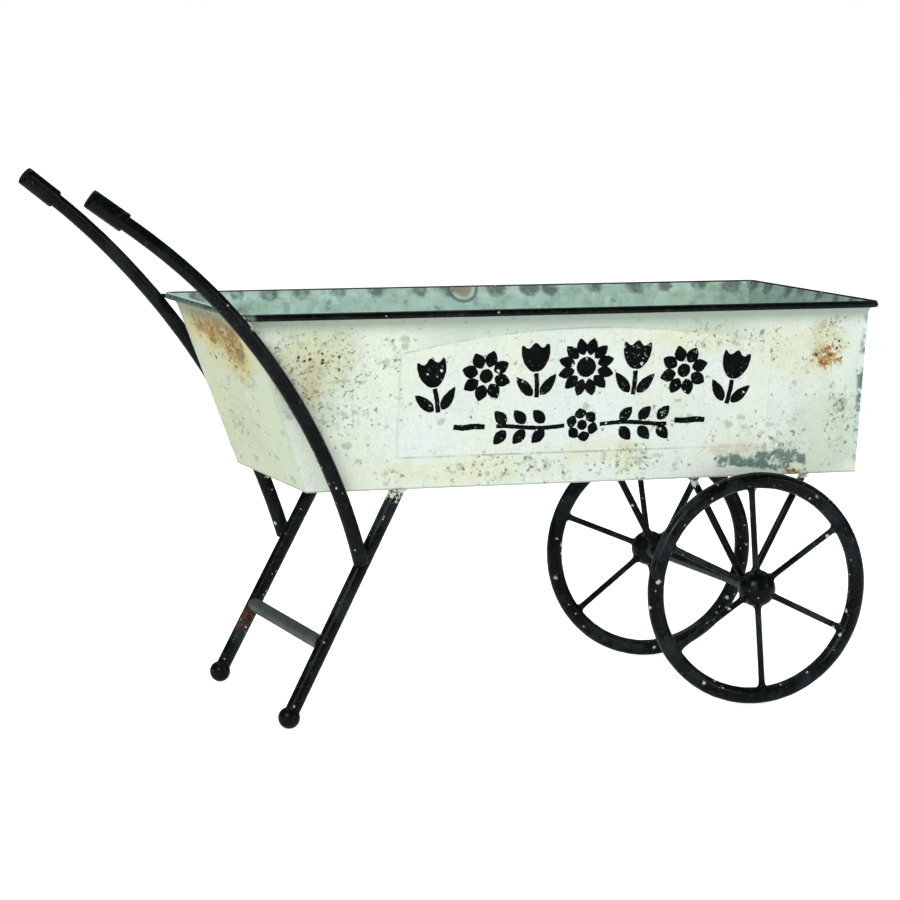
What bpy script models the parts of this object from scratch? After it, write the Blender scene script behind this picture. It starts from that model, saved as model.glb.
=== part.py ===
"""Two-wheeled flower cart: a flared sheet-metal trough on a black tube frame.

Metres, +Z up.  +X points from the handles to the wheels and +Y to the cart's left.
The origin is on the ground, under the middle of the cart's bounding box.
"""

import math

import bmesh
import bpy
from mathutils import Matrix, Vector

# ---------------------------------------------------------------- driving dimensions

GAP = 0.0003                    # air left between two pieces that touch

SHEET = 0.0008                  # trough sheet thickness
TROUGH_Z = 0.1998               # underside of the trough floor
RIM_Z = 0.3498                  # centre height of the rim rod
FLOOR_X = (-0.1608, 0.3442)     # trough ends at the floor, handle end first
RIM_X = (-0.2132, 0.3454)       # trough ends at the rim
FLOOR_HALF_Y = 0.1131           # half width of the trough at the floor
RIM_HALF_Y = 0.1338             # half width of the trough at the rim
SEAM_LAP = 0.0080               # width of the folded laps at the trough corners
LAP_BELOW = 0.0010              # the laps stop this far above the floor pan's edge
LAP_ABOVE = 0.0020              # and this far below the flare
PAN_LIP = 0.0060                # height of the floor pan's turned-up edge

RIM_ROD_R = 0.0025              # rod inside the rolled rim
RIM_OFFSET = 0.0059             # rod centre outboard of the trough wall
FLARE_H = 0.0070                # height over which the wall flares out to the rod
RIM_NOTCH = 0.0060              # the rolled edge stops this far short of a corner

PRESSING_X = (-0.0834, 0.2566)  # pressed panel on each long side
PRESSING_Z = (0.2263, 0.3360)   # its bottom edge and the crown of its arch
PRESSING_ARCH_R = 0.7660        # radius of the arch
PRESSING_CORNER = 0.0060        # radius of its two lower corners
PRESSING_DEPTH = 0.0008
PRESSING_RAMP = 0.0025          # width of the sloped edge of the pressing

TUBE_R = 0.0064                 # frame tube, about 13 mm outside
TUBE_WALL = 0.0010
FOOT_R = 0.0094
FOOT_SHOULDER = 0.0068          # height of the shoulder above the ball's centre
FOOT_SPIGOT = 0.0100            # length of the spigot inside the leg tube
FOOT_X = -0.1772
FOOT_HALF_Y = 0.1156
LEG_TOP_X = -0.0789
LEG_TOP_HALF_Y = 0.1084
CROSSBAR_Z = 0.0697

# Handles, bent by hand and so not quite alike. Each starts at (x, z), lapped on its leg's outer
# side and leaning back, then bends further back and ends in a straight for the grip.
HANDLES = {
    "right": {"x": -0.1160, "z": 0.1388, "lean": 15.0, "bend_r": 0.5200, "bend": 39.3,
              "straight": 0.0395, "tip_half_y": 0.1303},
    "left": {"x": -0.1143, "z": 0.1298, "lean": 15.9, "bend_r": 0.6023, "bend": 36.3,
             "straight": 0.0285, "tip_half_y": 0.1336},
}
HANDLE_RIM_HALF_Y = 0.1416      # half spacing of the handles where they pass the rim
HANDLE_TOE_IN = 0.16            # inward slope of the grips, per unit of height
GRIP_R = 0.0085
GRIP_LENGTH = 0.0340
PLUG_DEPTH = 0.0080             # length of the grip plug inside the tube
PLUG_FACE = 0.0020              # how far the plug's head stands out of the tube

AXLE_X = 0.2446
AXLE_R = 0.0050
WHEEL_R = 0.1024                # 8 inch wheels
WHEEL_HALF_Y = 0.1286
WHEEL_TUBE_R = 0.0072
SPOKES = 6
SPOKE_R = 0.00275
SPOKE_PHASE = {"right": math.radians(34.0), "left": math.radians(38.0)}
HUB_R = 0.0165
HUB_BACK = 0.0145               # flat inboard face, measured from the hub centre
HUB_SEAM = 0.0100               # height of the seam between hub and cap
BORE_R = AXLE_R + GAP
POCKET_R = 0.0095
CAP_SPIGOT_Z = 0.0070           # inner end of the cap's spigot, from the hub centre
AXLE_END = 0.0040               # the axle ends this far past the hub centre
COLLAR_R = 0.0085
COLLAR_WIDTH = 0.0035
COLLAR_PLAY = 0.0004            # air between the collar and the back of the hub
PUSH_NUT_Y = 0.0006             # push nut's inboard face, from the hub centre
PUSH_NUT_WIDTH = 0.0016
STRUT_R = 0.00325
STRUT_HALF_Y = 0.1060
STRUT_SPREAD = 0.0530           # strut tops, before and behind the axle
STRUT_SPLIT = 0.0010            # their lower ends, so that they stand side by side

SIDES = {"right": -1, "left": 1}

# ---------------------------------------------------------------- scene and materials


def clear_scene():
    for obj in list(bpy.data.objects):
        bpy.data.objects.remove(obj, do_unlink=True)


def make_material(name, color, roughness, metallic):
    mat = bpy.data.materials.new(name)
    mat.use_nodes = True
    shader = mat.node_tree.nodes["Principled BSDF"]
    shader.inputs["Base Color"].default_value = (*color, 1.0)
    shader.inputs["Roughness"].default_value = roughness
    shader.inputs["Metallic"].default_value = metallic
    mat.diffuse_color = (*color, 1.0)
    return mat


def make_materials():
    return {
        "paint": make_material("aged_white_paint", (0.76, 0.80, 0.74), 0.60, 0.0),
        "zinc": make_material("galvanised_steel", (0.46, 0.53, 0.50), 0.45, 0.9),
        "black": make_material("black_frame_paint", (0.015, 0.017, 0.018), 0.40, 0.2),
        "grip": make_material("black_grip_paint", (0.020, 0.021, 0.023), 0.35, 0.2),
        "steel": make_material("bright_steel", (0.55, 0.55, 0.55), 0.35, 1.0),
    }


def add_object(name, bm, mat, parent=None, matrix=Matrix.Identity(4)):
    """Turn a bmesh into a named object, smooth except across its sharp edges."""
    bmesh.ops.recalc_face_normals(bm, faces=bm.faces[:])
    mesh = bpy.data.meshes.new(name)
    bm.to_mesh(mesh)
    bm.free()
    mesh.materials.append(mat)
    mesh.shade_smooth()
    mesh.set_sharp_from_angle(angle=math.radians(35))
    obj = bpy.data.objects.new(name, mesh)
    bpy.context.collection.objects.link(obj)
    obj.parent = parent
    obj.matrix_local = matrix
    return obj


def add_empty(name, location):
    empty = bpy.data.objects.new(name, None)
    empty.location = location
    bpy.context.collection.objects.link(empty)
    return empty


# ---------------------------------------------------------------- shape helpers


def axis_matrix(origin, direction):
    """Place local +Z along direction, with the local origin at origin."""
    turn = Vector((0, 0, 1)).rotation_difference(Vector(direction).normalized())
    return Matrix.Translation(origin) @ turn.to_matrix().to_4x4()


def arc(center, radius, start, end, steps):
    """Points on a circle arc, both ends included; angles in degrees."""
    points = []
    for i in range(steps + 1):
        angle = math.radians(start + (end - start) * i / steps)
        points.append((center[0] + radius * math.cos(angle), center[1] + radius * math.sin(angle)))
    return points


def turned(profile, segments, ring=False):
    """Revolve (radius, height) points about Z; a ring's profile closes on itself."""
    bm = bmesh.new()
    rows = []
    for radius, height in profile:
        if radius < 1e-7:
            rows.append([bm.verts.new((0, 0, height))])
            continue
        row = []
        for i in range(segments):
            angle = 2 * math.pi * i / segments
            row.append(bm.verts.new((radius * math.cos(angle), radius * math.sin(angle), height)))
        rows.append(row)
    if ring:
        rows.append(rows[0])
    for low, high in zip(rows, rows[1:]):
        for i in range(segments):
            j = (i + 1) % segments
            if len(low) == 1:
                bm.faces.new((low[0], high[i], high[j]))
            elif len(high) == 1:
                bm.faces.new((low[i], low[j], high[0]))
            else:
                bm.faces.new((low[i], low[j], high[j], high[i]))
    return bm


def circle_at(bm, center, tangent, reference, radius, segments):
    """A ring of vertices square to tangent; reference fixes where it starts."""
    first = (reference - reference.dot(tangent) * tangent).normalized()
    second = tangent.cross(first)
    ring = []
    for i in range(segments):
        angle = 2 * math.pi * i / segments
        offset = first * math.cos(angle) + second * math.sin(angle)
        ring.append(bm.verts.new(center + radius * offset))
    return ring


def path_tangents(path, closed):
    tangents = []
    last = len(path) - 1
    for i in range(len(path)):
        before = path[i - 1] if i > 0 or closed else path[0]
        after = path[(i + 1) % len(path)] if i < last or closed else path[last]
        tangents.append((after - before).normalized())
    return tangents


def bridge(bm, ring_a, ring_b):
    count = len(ring_a)
    for i in range(count):
        j = (i + 1) % count
        bm.faces.new((ring_a[i], ring_a[j], ring_b[j], ring_b[i]))


def fine_cap(bm, ring, center):
    """Close a rod's end with rings fine enough to be coped.  Returns the end's vertices."""
    verts = list(ring)
    outer = ring
    for share in (0.66, 0.33):
        inner = [bm.verts.new(center.lerp(vert.co, share)) for vert in ring]
        bridge(bm, outer, inner)
        verts += inner
        outer = inner
    middle = bm.verts.new(center)
    for i in range(len(ring)):
        bm.faces.new((outer[i - 1], outer[i], middle))
    return verts + [middle]


def rod_hoop(path, radius, segments, reference):
    """A solid rod bent round into a closed hoop."""
    bm = bmesh.new()
    rings = []
    for point, tangent in zip(path, path_tangents(path, True)):
        rings.append(circle_at(bm, point, tangent, reference, radius, segments))
    for i in range(len(rings)):
        bridge(bm, rings[i - 1], rings[i])
    return bm


def straight_rod(start, end, radius, segments, reference):
    """A solid rod.  Returns the bmesh and the vertices of its start and of its end."""
    bm = bmesh.new()
    tangent = (end - start).normalized()
    first = circle_at(bm, start, tangent, reference, radius, segments)
    last = circle_at(bm, end, tangent, reference, radius, segments)
    bridge(bm, first, last)
    bm.faces.new(first)
    return bm, first, fine_cap(bm, last, end)


def swept_tube(path, radius, wall, segments, reference):
    """A hollow tube along a path.  Returns the bmesh and the vertices of each end."""
    bm = bmesh.new()
    outer = []
    inner = []
    for point, tangent in zip(path, path_tangents(path, False)):
        outer.append(circle_at(bm, point, tangent, reference, radius, segments))
        inner.append(circle_at(bm, point, tangent, reference, radius - wall, segments))
    for rings in (outer, inner):
        for ring_a, ring_b in zip(rings, rings[1:]):
            bridge(bm, ring_a, ring_b)
    bridge(bm, outer[0], inner[0])
    bridge(bm, outer[-1], inner[-1])
    return bm, outer[0] + inner[0], outer[-1] + inner[-1]


def slide_to_plane(verts, direction, point, normal):
    """Cut an end to a plane by sliding its vertices along the rod."""
    for vert in verts:
        vert.co += direction * ((point - vert.co).dot(normal) / direction.dot(normal))


def cylinder_distance(start, direction, point, axis, radius):
    """Distance along direction from start to a cylinder's near surface."""
    across = direction - direction.dot(axis) * axis
    offset = (start - point) - (start - point).dot(axis) * axis
    a = across.length_squared
    b = 2 * across.dot(offset)
    c = offset.length_squared - radius * radius
    return (-b - math.sqrt(b * b - 4 * a * c)) / (2 * a)


def slide_to_cylinder(verts, direction, point, axis, radius):
    """Cope an end to a round tube by sliding its vertices along the rod."""
    for vert in verts:
        start = vert.co - direction
        reach = cylinder_distance(start, direction, point, axis, radius)
        vert.co = start + direction * reach


# ---------------------------------------------------------------- trough


def flared(floor_value, rim_value, z):
    """Interpolate from floor height to rim height; above the rim the wall stands upright."""
    t = min(1.0, (z - TROUGH_Z) / (RIM_Z - TROUGH_Z))
    return floor_value + (rim_value - floor_value) * t


def wall_half_y(z):
    return flared(FLOOR_HALF_Y, RIM_HALF_Y, z)


def wall_x(end, z):
    """Outer face of an end wall: end 0 is at the handles, end 1 at the wheels."""
    return flared(FLOOR_X[end], RIM_X[end], z)


def rim_profile():
    """Rolled edge as (outward offset, height from the rod centre), from the wall upwards."""
    wrap_r = RIM_ROD_R + GAP
    reach = RIM_OFFSET - wrap_r
    points = []
    for i in range(1, 5):
        u = i / 5
        points.append((reach * (3 * u * u - 2 * u ** 3), -FLARE_H * (1 - u)))
    return points + arc((RIM_OFFSET, 0.0), wrap_r, 180, 60, 6)


def rim_notch(height):
    """How far the rolled edge stops short of the corner at a given height."""
    return RIM_NOTCH * min(1.0, (height + FLARE_H) / FLARE_H)


def pressing_outline(inset):
    """Pressed panel's outline on the wall as (x, z), bottom corners first, then the arch."""
    x0 = PRESSING_X[0] + inset
    x1 = PRESSING_X[1] - inset
    z0 = PRESSING_Z[0] + inset
    corner = PRESSING_CORNER - inset
    points = arc((x0 + corner, z0 + corner), corner, 180, 270, 3)
    points += arc((x1 - corner, z0 + corner), corner, 270, 360, 3)
    middle = (x0 + x1) / 2
    radius = PRESSING_ARCH_R - inset
    center = (middle, PRESSING_Z[1] - PRESSING_ARCH_R)
    half_angle = math.degrees(math.asin((x1 - middle) / radius))
    return points + arc(center, radius, 90 - half_angle, 90 + half_angle, 14)


def solidify(obj):
    """Give a sheet surface its thickness, on the side away from its normals."""
    modifier = obj.modifiers.new("sheet", "SOLIDIFY")
    modifier.thickness = SHEET
    modifier.offset = -1.0
    modifier.use_even_offset = True
    modifier.use_quality_normals = True


def add_sheet(name, bm, mat, outward):
    """Make a sheet whose surface normals point outward from the trough."""
    bmesh.ops.recalc_face_normals(bm, faces=bm.faces[:])
    bm.faces.ensure_lookup_table()
    largest = max(bm.faces, key=lambda face: face.calc_area())
    if largest.normal.dot(Vector(outward)) < 0:
        bmesh.ops.reverse_faces(bm, faces=bm.faces[:])
    mesh = bpy.data.meshes.new(name)
    bm.to_mesh(mesh)
    bm.free()
    mesh.materials.append(mat)
    mesh.shade_smooth()
    mesh.set_sharp_from_angle(angle=math.radians(35))
    obj = bpy.data.objects.new(name, mesh)
    bpy.context.collection.objects.link(obj)
    solidify(obj)
    return obj


def loop_verts(bm, points, place):
    return [bm.verts.new(place(*point)) for point in points]


def loop_edges(bm, verts):
    return [bm.edges.new((verts[i - 1], verts[i])) for i in range(len(verts))]


def add_rim_rows(bm, lower, row_ends):
    """Roll the top edge of a wall outwards, row by row, from its two top vertices."""
    for offset, height in rim_profile():
        upper = [bm.verts.new(point) for point in row_ends(offset, height)]
        bm.faces.new((lower[0], lower[1], upper[1], upper[0]))
        lower = upper


def add_side_wall(name, side, mats):
    """Long wall with its pressed, arched panel and rolled top edge."""
    bm = bmesh.new()
    top = RIM_Z - FLARE_H

    def flat(x, z, offset=0.0):
        return Vector((x, side * (wall_half_y(z) + offset), z))

    corners = [(wall_x(0, TROUGH_Z), TROUGH_Z), (wall_x(1, TROUGH_Z), TROUGH_Z),
               (wall_x(1, top), top), (wall_x(0, top), top)]
    border = loop_verts(bm, corners, flat)
    outline = loop_verts(bm, pressing_outline(0.0), flat)
    bmesh.ops.triangle_fill(bm, use_beauty=True, use_dissolve=False,
                            edges=loop_edges(bm, border) + loop_edges(bm, outline))
    floor_points = [(x, z, -PRESSING_DEPTH) for x, z in pressing_outline(PRESSING_RAMP)]
    floor = loop_verts(bm, floor_points, flat)
    bridge(bm, outline, floor)
    bm.faces.new(floor)

    def row_ends(offset, height):
        z = RIM_Z + height
        notch = rim_notch(height)
        return (flat(wall_x(0, z) + notch, z, offset), flat(wall_x(1, z) - notch, z, offset))

    add_rim_rows(bm, (border[3], border[2]), row_ends)
    return add_sheet(name, bm, mats["paint"], (0, side, 0))


def add_end_wall(name, end, mats):
    """Short wall between the long ones, with laps folded inside them."""
    bm = bmesh.new()
    inward = 1 if end == 0 else -1
    flare_z = RIM_Z - FLARE_H
    heights = (TROUGH_Z, TROUGH_Z + PAN_LIP + LAP_BELOW, flare_z - LAP_ABOVE, flare_z)

    def half_y(z):
        return wall_half_y(z) - SHEET - GAP

    rows = []
    for z in heights:
        rows.append([bm.verts.new((wall_x(end, z), y, z)) for y in (-half_y(z), half_y(z))])
    for low, high in zip(rows, rows[1:]):
        bm.faces.new((low[0], low[1], high[1], high[0]))
    for edge in (0, 1):
        low, high = rows[1][edge], rows[2][edge]
        shift = Vector((inward * SEAM_LAP, 0, 0))
        folded = [bm.verts.new(high.co + shift), bm.verts.new(low.co + shift)]
        bm.faces.new((low, high, *folded))

    def row_ends(offset, height):
        z = RIM_Z + height
        x = wall_x(end, z) - inward * offset
        y = half_y(z) - rim_notch(height)
        return (Vector((x, -y, z)), Vector((x, y, z)))

    add_rim_rows(bm, rows[3], row_ends)
    return add_sheet(name, bm, mats["paint"], (-inward, 0, 0))


def add_floor_pan(mats):
    """Trough floor: a shallow pan whose turned-up edge laps inside the walls."""
    bm = bmesh.new()
    inset = SHEET + GAP
    rings = []
    for z in (TROUGH_Z, TROUGH_Z + PAN_LIP):
        x0 = wall_x(0, z) + inset
        x1 = wall_x(1, z) - inset
        y = wall_half_y(z) - inset
        rings.append([bm.verts.new(point) for point in
                      ((x0, -y, z), (x1, -y, z), (x1, y, z), (x0, y, z))])
    bm.faces.new(rings[0])
    bridge(bm, rings[0], rings[1])
    return add_sheet("trough_floor", bm, mats["zinc"], (0, 0, -1))


def add_rim_rod(mats):
    """One hoop of rod that the trough's top edge is rolled over."""
    corners = ((RIM_X[1], RIM_HALF_Y, 0), (RIM_X[0], RIM_HALF_Y, 90),
               (RIM_X[0], -RIM_HALF_Y, 180), (RIM_X[1], -RIM_HALF_Y, 270))
    path = []
    for x, y, start in corners:
        for px, py in arc((x, y), RIM_OFFSET, start, start + 90, 5):
            path.append(Vector((px, py, RIM_Z)))
    bm = rod_hoop(path, RIM_ROD_R, 10, Vector((0, 0, 1)))
    add_object("rim_rod", bm, mats["black"])


def add_trough(mats):
    add_floor_pan(mats)
    for label, side in SIDES.items():
        add_side_wall(f"trough_side_{label}", side, mats)
    add_end_wall("trough_end_handles", 0, mats)
    add_end_wall("trough_end_wheels", 1, mats)
    add_rim_rod(mats)


# ---------------------------------------------------------------- legs and handles


def leg_line(side):
    """Foot centre and the unit direction from it up the leg."""
    foot = Vector((FOOT_X, side * FOOT_HALF_Y, FOOT_R))
    top = Vector((LEG_TOP_X, side * LEG_TOP_HALF_Y, TROUGH_Z))
    return foot, (top - foot).normalized()


def leg_point(side, z):
    foot, up = leg_line(side)
    return foot + up * ((z - foot.z) / up.z)


def add_leg(label, side, mats):
    """Straight leg tube, cut level under the trough floor."""
    foot, up = leg_line(side)
    path = [foot + up * (FOOT_SHOULDER + GAP), leg_point(side, TROUGH_Z - GAP)]
    bm, _, top = swept_tube(path, TUBE_R, TUBE_WALL, 16, Vector((0, side, 0)))
    slide_to_plane(top, up, Vector((0, 0, TROUGH_Z - GAP)), Vector((0, 0, 1)))
    add_object(f"leg_tube_{label}", bm, mats["black"])


def add_foot(label, side, mats):
    """Ball foot with a flat shoulder for the leg tube and a spigot that plugs it."""
    foot, up = leg_line(side)
    spigot = TUBE_R - TUBE_WALL - GAP
    shoulder = math.degrees(math.asin(FOOT_SHOULDER / FOOT_R))
    profile = arc((0, 0), FOOT_R, -90, shoulder, 12)
    profile[0] = (0.0, -FOOT_R)
    top = FOOT_SHOULDER + FOOT_SPIGOT
    chamfer = 0.0008
    profile += [(spigot, FOOT_SHOULDER), (spigot, top - chamfer), (spigot - chamfer, top), (0.0, top)]
    add_object(f"foot_ball_{label}", turned(profile, 20), mats["black"],
               matrix=axis_matrix(foot, up))


def add_crossbar(mats):
    """Tube between the legs' inner sides, coped to both."""
    ends = [leg_point(-1, CROSSBAR_Z), leg_point(1, CROSSBAR_Z)]
    bm, right, left = swept_tube(ends, TUBE_R, TUBE_WALL, 16, Vector((0, 0, 1)))
    middle = (ends[0] + ends[1]) / 2
    for verts, side in ((right, -1), (left, 1)):
        for vert in verts:
            vert.co.y = middle.y
        _, up = leg_line(side)
        slide_to_cylinder(verts, Vector((0, side, 0)), leg_point(side, CROSSBAR_Z), up,
                          TUBE_R + GAP)
    add_object("leg_crossbar", bm, mats["zinc"])


def handle_half_y(z, shape, start_y, tip_z):
    """Half spacing of the handles: straight up to the rim, then curving in to the grips."""
    slope = (HANDLE_RIM_HALF_Y - start_y) / (RIM_Z - shape["z"])
    if z < RIM_Z:
        return start_y + slope * (z - shape["z"])
    rise = tip_z - RIM_Z
    t = (z - RIM_Z) / rise
    drop = HANDLE_RIM_HALF_Y - shape["tip_half_y"]
    return (HANDLE_RIM_HALF_Y - drop * t * t * (3 - 2 * t) + slope * rise * t * (1 - t) ** 2
            + HANDLE_TOE_IN * rise * t * t * (1 - t))


def handle_path(label):
    """Handle centre line: one long bend, then a straight for the grip."""
    shape = HANDLES[label]
    side = SIDES[label]
    first = math.radians(shape["lean"])
    points = []
    for i in range(17):
        lean = first + math.radians(shape["bend"]) * i / 16
        x = shape["x"] + shape["bend_r"] * (math.cos(lean) - math.cos(first))
        z = shape["z"] + shape["bend_r"] * (math.sin(lean) - math.sin(first))
        points.append((x, z))
    x, z = points[-1]
    run = shape["straight"]
    points.append((x - math.sin(lean) * run, z + math.cos(lean) * run))
    start_y = abs(leg_point(side, shape["z"]).y) + 2 * TUBE_R + GAP
    tip_z = points[-1][1]
    return [Vector((x, side * handle_half_y(z, shape, start_y, tip_z), z)) for x, z in points]


def add_handle(label, side, mats):
    """Bent handle tube with its grip sleeve and the plug in its end."""
    path = handle_path(label)
    bm, _, _ = swept_tube(path, TUBE_R, TUBE_WALL, 12, Vector((0, side, 0)))
    add_object(f"handle_tube_{label}", bm, mats["black"])
    tip = path[-1]
    outward = (path[-1] - path[-2]).normalized()
    seat = axis_matrix(tip, outward)
    inner = TUBE_R + GAP
    chamfer = 0.0007
    sleeve = [(inner, -GRIP_LENGTH), (GRIP_R - chamfer, -GRIP_LENGTH),
              (GRIP_R, -GRIP_LENGTH + chamfer), (GRIP_R, -chamfer), (GRIP_R - chamfer, 0.0),
              (inner, 0.0)]
    add_object(f"grip_sleeve_{label}", turned(sleeve, 24, ring=True), mats["grip"], matrix=seat)
    bore = TUBE_R - TUBE_WALL - GAP
    plug = [(0.0, -PLUG_DEPTH), (bore - chamfer, -PLUG_DEPTH), (bore, chamfer - PLUG_DEPTH),
            (bore, GAP), (GRIP_R - chamfer, GAP), (GRIP_R, GAP + chamfer),
            (GRIP_R - chamfer, PLUG_FACE), (0.0, PLUG_FACE)]
    add_object(f"grip_plug_{label}", turned(plug, 24), mats["black"], matrix=seat)


# ---------------------------------------------------------------- axle and wheels


def add_axle(mats):
    half = WHEEL_HALF_Y + AXLE_END
    chamfer = 0.0006
    profile = [(0.0, -half), (AXLE_R - chamfer, -half), (AXLE_R, -half + chamfer),
               (AXLE_R, half - chamfer), (AXLE_R - chamfer, half), (0.0, half)]
    add_object("axle_rod", turned(profile, 24), mats["zinc"],
               matrix=axis_matrix((AXLE_X, 0, WHEEL_R), (0, 1, 0)))


def add_strut(name, side, fore, mats):
    """Slanted rod from the trough floor down to the top of the axle."""
    axle = Vector((AXLE_X, side * STRUT_HALF_Y, WHEEL_R))
    bottom = axle + Vector((fore * STRUT_SPLIT, 0, 0))
    top = Vector((AXLE_X + fore * STRUT_SPREAD, side * STRUT_HALF_Y, TROUGH_Z - GAP))
    down = (bottom - top).normalized()
    bm, upper, lower = straight_rod(top, bottom, STRUT_R, 12, Vector((0, 1, 0)))
    slide_to_plane(upper, down, top, Vector((0, 0, 1)))
    slide_to_cylinder(lower, down, axle, Vector((0, 1, 0)), AXLE_R + GAP)
    add_object(name, bm, mats["black"])


def add_collar(name, side, inner_y, width, mats):
    """Ring fixed on the axle; inner_y is its inboard face, measured from the hub centre."""
    profile = [(BORE_R, 0.0), (COLLAR_R, 0.0), (COLLAR_R, width), (BORE_R, width)]
    origin = (AXLE_X, side * (WHEEL_HALF_Y + inner_y), WHEEL_R)
    add_object(name, turned(profile, 20, ring=True), mats["steel"],
               matrix=axis_matrix(origin, (0, side, 0)))


def add_axle_parts(mats):
    add_axle(mats)
    for label, side in SIDES.items():
        add_strut(f"axle_strut_front_{label}", side, 1, mats)
        add_strut(f"axle_strut_rear_{label}", side, -1, mats)
        collar_y = -HUB_BACK - COLLAR_PLAY - COLLAR_WIDTH
        add_collar(f"axle_collar_{label}", side, collar_y, COLLAR_WIDTH, mats)
        add_collar(f"push_nut_{label}", side, PUSH_NUT_Y, PUSH_NUT_WIDTH, mats)


def hub_shell_profile():
    """Ball with a flat back, a bore for the axle and a pocket behind the cap."""
    back = math.degrees(math.asin(HUB_BACK / HUB_R))
    seam = math.degrees(math.asin(HUB_SEAM / HUB_R))
    outside = arc((0, 0), HUB_R, -back, seam, 9)
    inside = [(POCKET_R, HUB_SEAM), (POCKET_R, 0.0), (BORE_R, 0.0), (BORE_R, -HUB_BACK)]
    return outside + inside


def hub_cap_profile():
    """Domed cap that carries on the ball's curve, with a spigot into the pocket."""
    seam = math.degrees(math.asin((HUB_SEAM + GAP) / HUB_R))
    spigot = POCKET_R - GAP
    dome = arc((0, 0), HUB_R, seam, 90, 6)
    dome[-1] = (0.0, HUB_R)
    return [(0.0, CAP_SPIGOT_Z), (spigot, CAP_SPIGOT_Z), (spigot, HUB_SEAM + GAP)] + dome


def add_wheel_rim(label, wheel, mats):
    """Ring of tube, with a vertex row at the very bottom where it stands."""
    ring_r = WHEEL_R - WHEEL_TUBE_R
    path = []
    for i in range(64):
        angle = 2 * math.pi * i / 64
        path.append(Vector((ring_r * math.sin(angle), 0, -ring_r * math.cos(angle))))
    bm = rod_hoop(path, WHEEL_TUBE_R, 12, Vector((0, 1, 0)))
    add_object(f"wheel_rim_{label}", bm, mats["black"], parent=wheel)


def add_spoke(name, angle, wheel, mats):
    """Straight rod from the hub ball to the inside of the rim tube, coped to the tube."""
    out = Vector((math.cos(angle), 0, math.sin(angle)))
    along_rim = Vector((-math.sin(angle), 0, math.cos(angle)))
    bm, _, tip = straight_rod(out * (HUB_R + GAP), out * (WHEEL_R - 2 * WHEEL_TUBE_R), SPOKE_R, 12,
                              Vector((0, 1, 0)))
    slide_to_cylinder(tip, out, out * (WHEEL_R - WHEEL_TUBE_R), along_rim, WHEEL_TUBE_R + GAP)
    add_object(name, bm, mats["black"], parent=wheel)


def add_wheel(label, side, mats):
    wheel = add_empty(f"wheel_{label}_axis", (AXLE_X, side * WHEEL_HALF_Y, WHEEL_R))
    add_wheel_rim(label, wheel, mats)
    for i in range(SPOKES):
        angle = SPOKE_PHASE[label] + 2 * math.pi * i / SPOKES
        add_spoke(f"spoke_{label}_{i + 1}", angle, wheel, mats)
    outboard = axis_matrix((0, 0, 0), (0, side, 0))
    add_object(f"hub_shell_{label}", turned(hub_shell_profile(), 32, ring=True), mats["black"],
               parent=wheel, matrix=outboard)
    add_object(f"hub_cap_{label}", turned(hub_cap_profile(), 32), mats["black"],
               parent=wheel, matrix=outboard)


def build():
    clear_scene()
    mats = make_materials()
    add_trough(mats)
    for label, side in SIDES.items():
        add_leg(label, side, mats)
        add_foot(label, side, mats)
        add_handle(label, side, mats)
    add_crossbar(mats)
    add_axle_parts(mats)
    for label, side in SIDES.items():
        add_wheel(label, side, mats)


build()
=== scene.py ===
"""Looks for the flower-cart wheelbarrow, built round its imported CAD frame.

Metres, +Z up, in the frame of the CAD: +X runs from the handles to the wheels.
"""

import math

import bmesh
import bpy
import numpy as np
from mathutils import Matrix, Vector, noise
from mathutils.geometry import tessellate_polygon


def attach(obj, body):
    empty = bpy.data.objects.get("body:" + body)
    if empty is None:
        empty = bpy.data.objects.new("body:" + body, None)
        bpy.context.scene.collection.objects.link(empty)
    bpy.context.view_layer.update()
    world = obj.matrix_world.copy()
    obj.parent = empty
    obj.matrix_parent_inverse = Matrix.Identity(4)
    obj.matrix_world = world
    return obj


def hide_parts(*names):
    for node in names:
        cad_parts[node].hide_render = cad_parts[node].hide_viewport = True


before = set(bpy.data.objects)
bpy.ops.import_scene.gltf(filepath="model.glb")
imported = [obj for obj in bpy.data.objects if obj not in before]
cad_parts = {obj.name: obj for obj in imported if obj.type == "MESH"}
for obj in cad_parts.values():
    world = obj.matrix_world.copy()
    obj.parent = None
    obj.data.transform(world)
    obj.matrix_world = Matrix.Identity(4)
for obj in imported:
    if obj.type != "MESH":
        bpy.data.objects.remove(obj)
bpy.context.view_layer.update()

# ---------------------------------------------------------------- dimensions
# They are the CAD's own, apart from those that a comment calls drawn.

SHEET = 0.0008
TROUGH_Z = 0.1998
RIM_Z = 0.3498
FLOOR_X = (-0.1608, 0.3442)
RIM_X = (-0.2132, 0.3454)
FLOOR_HALF_Y = 0.1131
RIM_HALF_Y = 0.1338
GAP = 0.0003
SEAM_LAP = 0.0080
PAN_LIP = 0.0060
PAN_FOLD = 0.97                 # drawn: share of the floor's grid that lies inside the fold
RIM_ROD_R = 0.0025
RIM_OFFSET = 0.0059
FLARE_H = 0.0070
CORNER_GAP = 0.0004             # drawn: the rolled edge stops this far short of a corner
PRESSING_X = (-0.0834, 0.2566)
PRESSING_Z = (0.2263, 0.3360)
PRESSING_ARCH_R = 0.7660
PRESSING_DEPTH = 0.0008
PRESSING_RAMP = 0.0025
TUBE_R = 0.0064
LEG_START = 0.0070              # drawn: a leg starts this far up from the foot's centre
LEG_END_Z = TROUGH_Z - 0.0006   # drawn: where a leg's centre line ends and its weld lies
FOOT_R = 0.0094
FOOT_X = -0.1772
FOOT_HALF_Y = 0.1156
LEG_TOP_X = -0.0789
LEG_TOP_HALF_Y = 0.1084
CROSSBAR_Z = 0.0697
CROSSBAR_INSET = 0.0030         # drawn: its ends stop this far from the legs' centre lines
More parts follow.
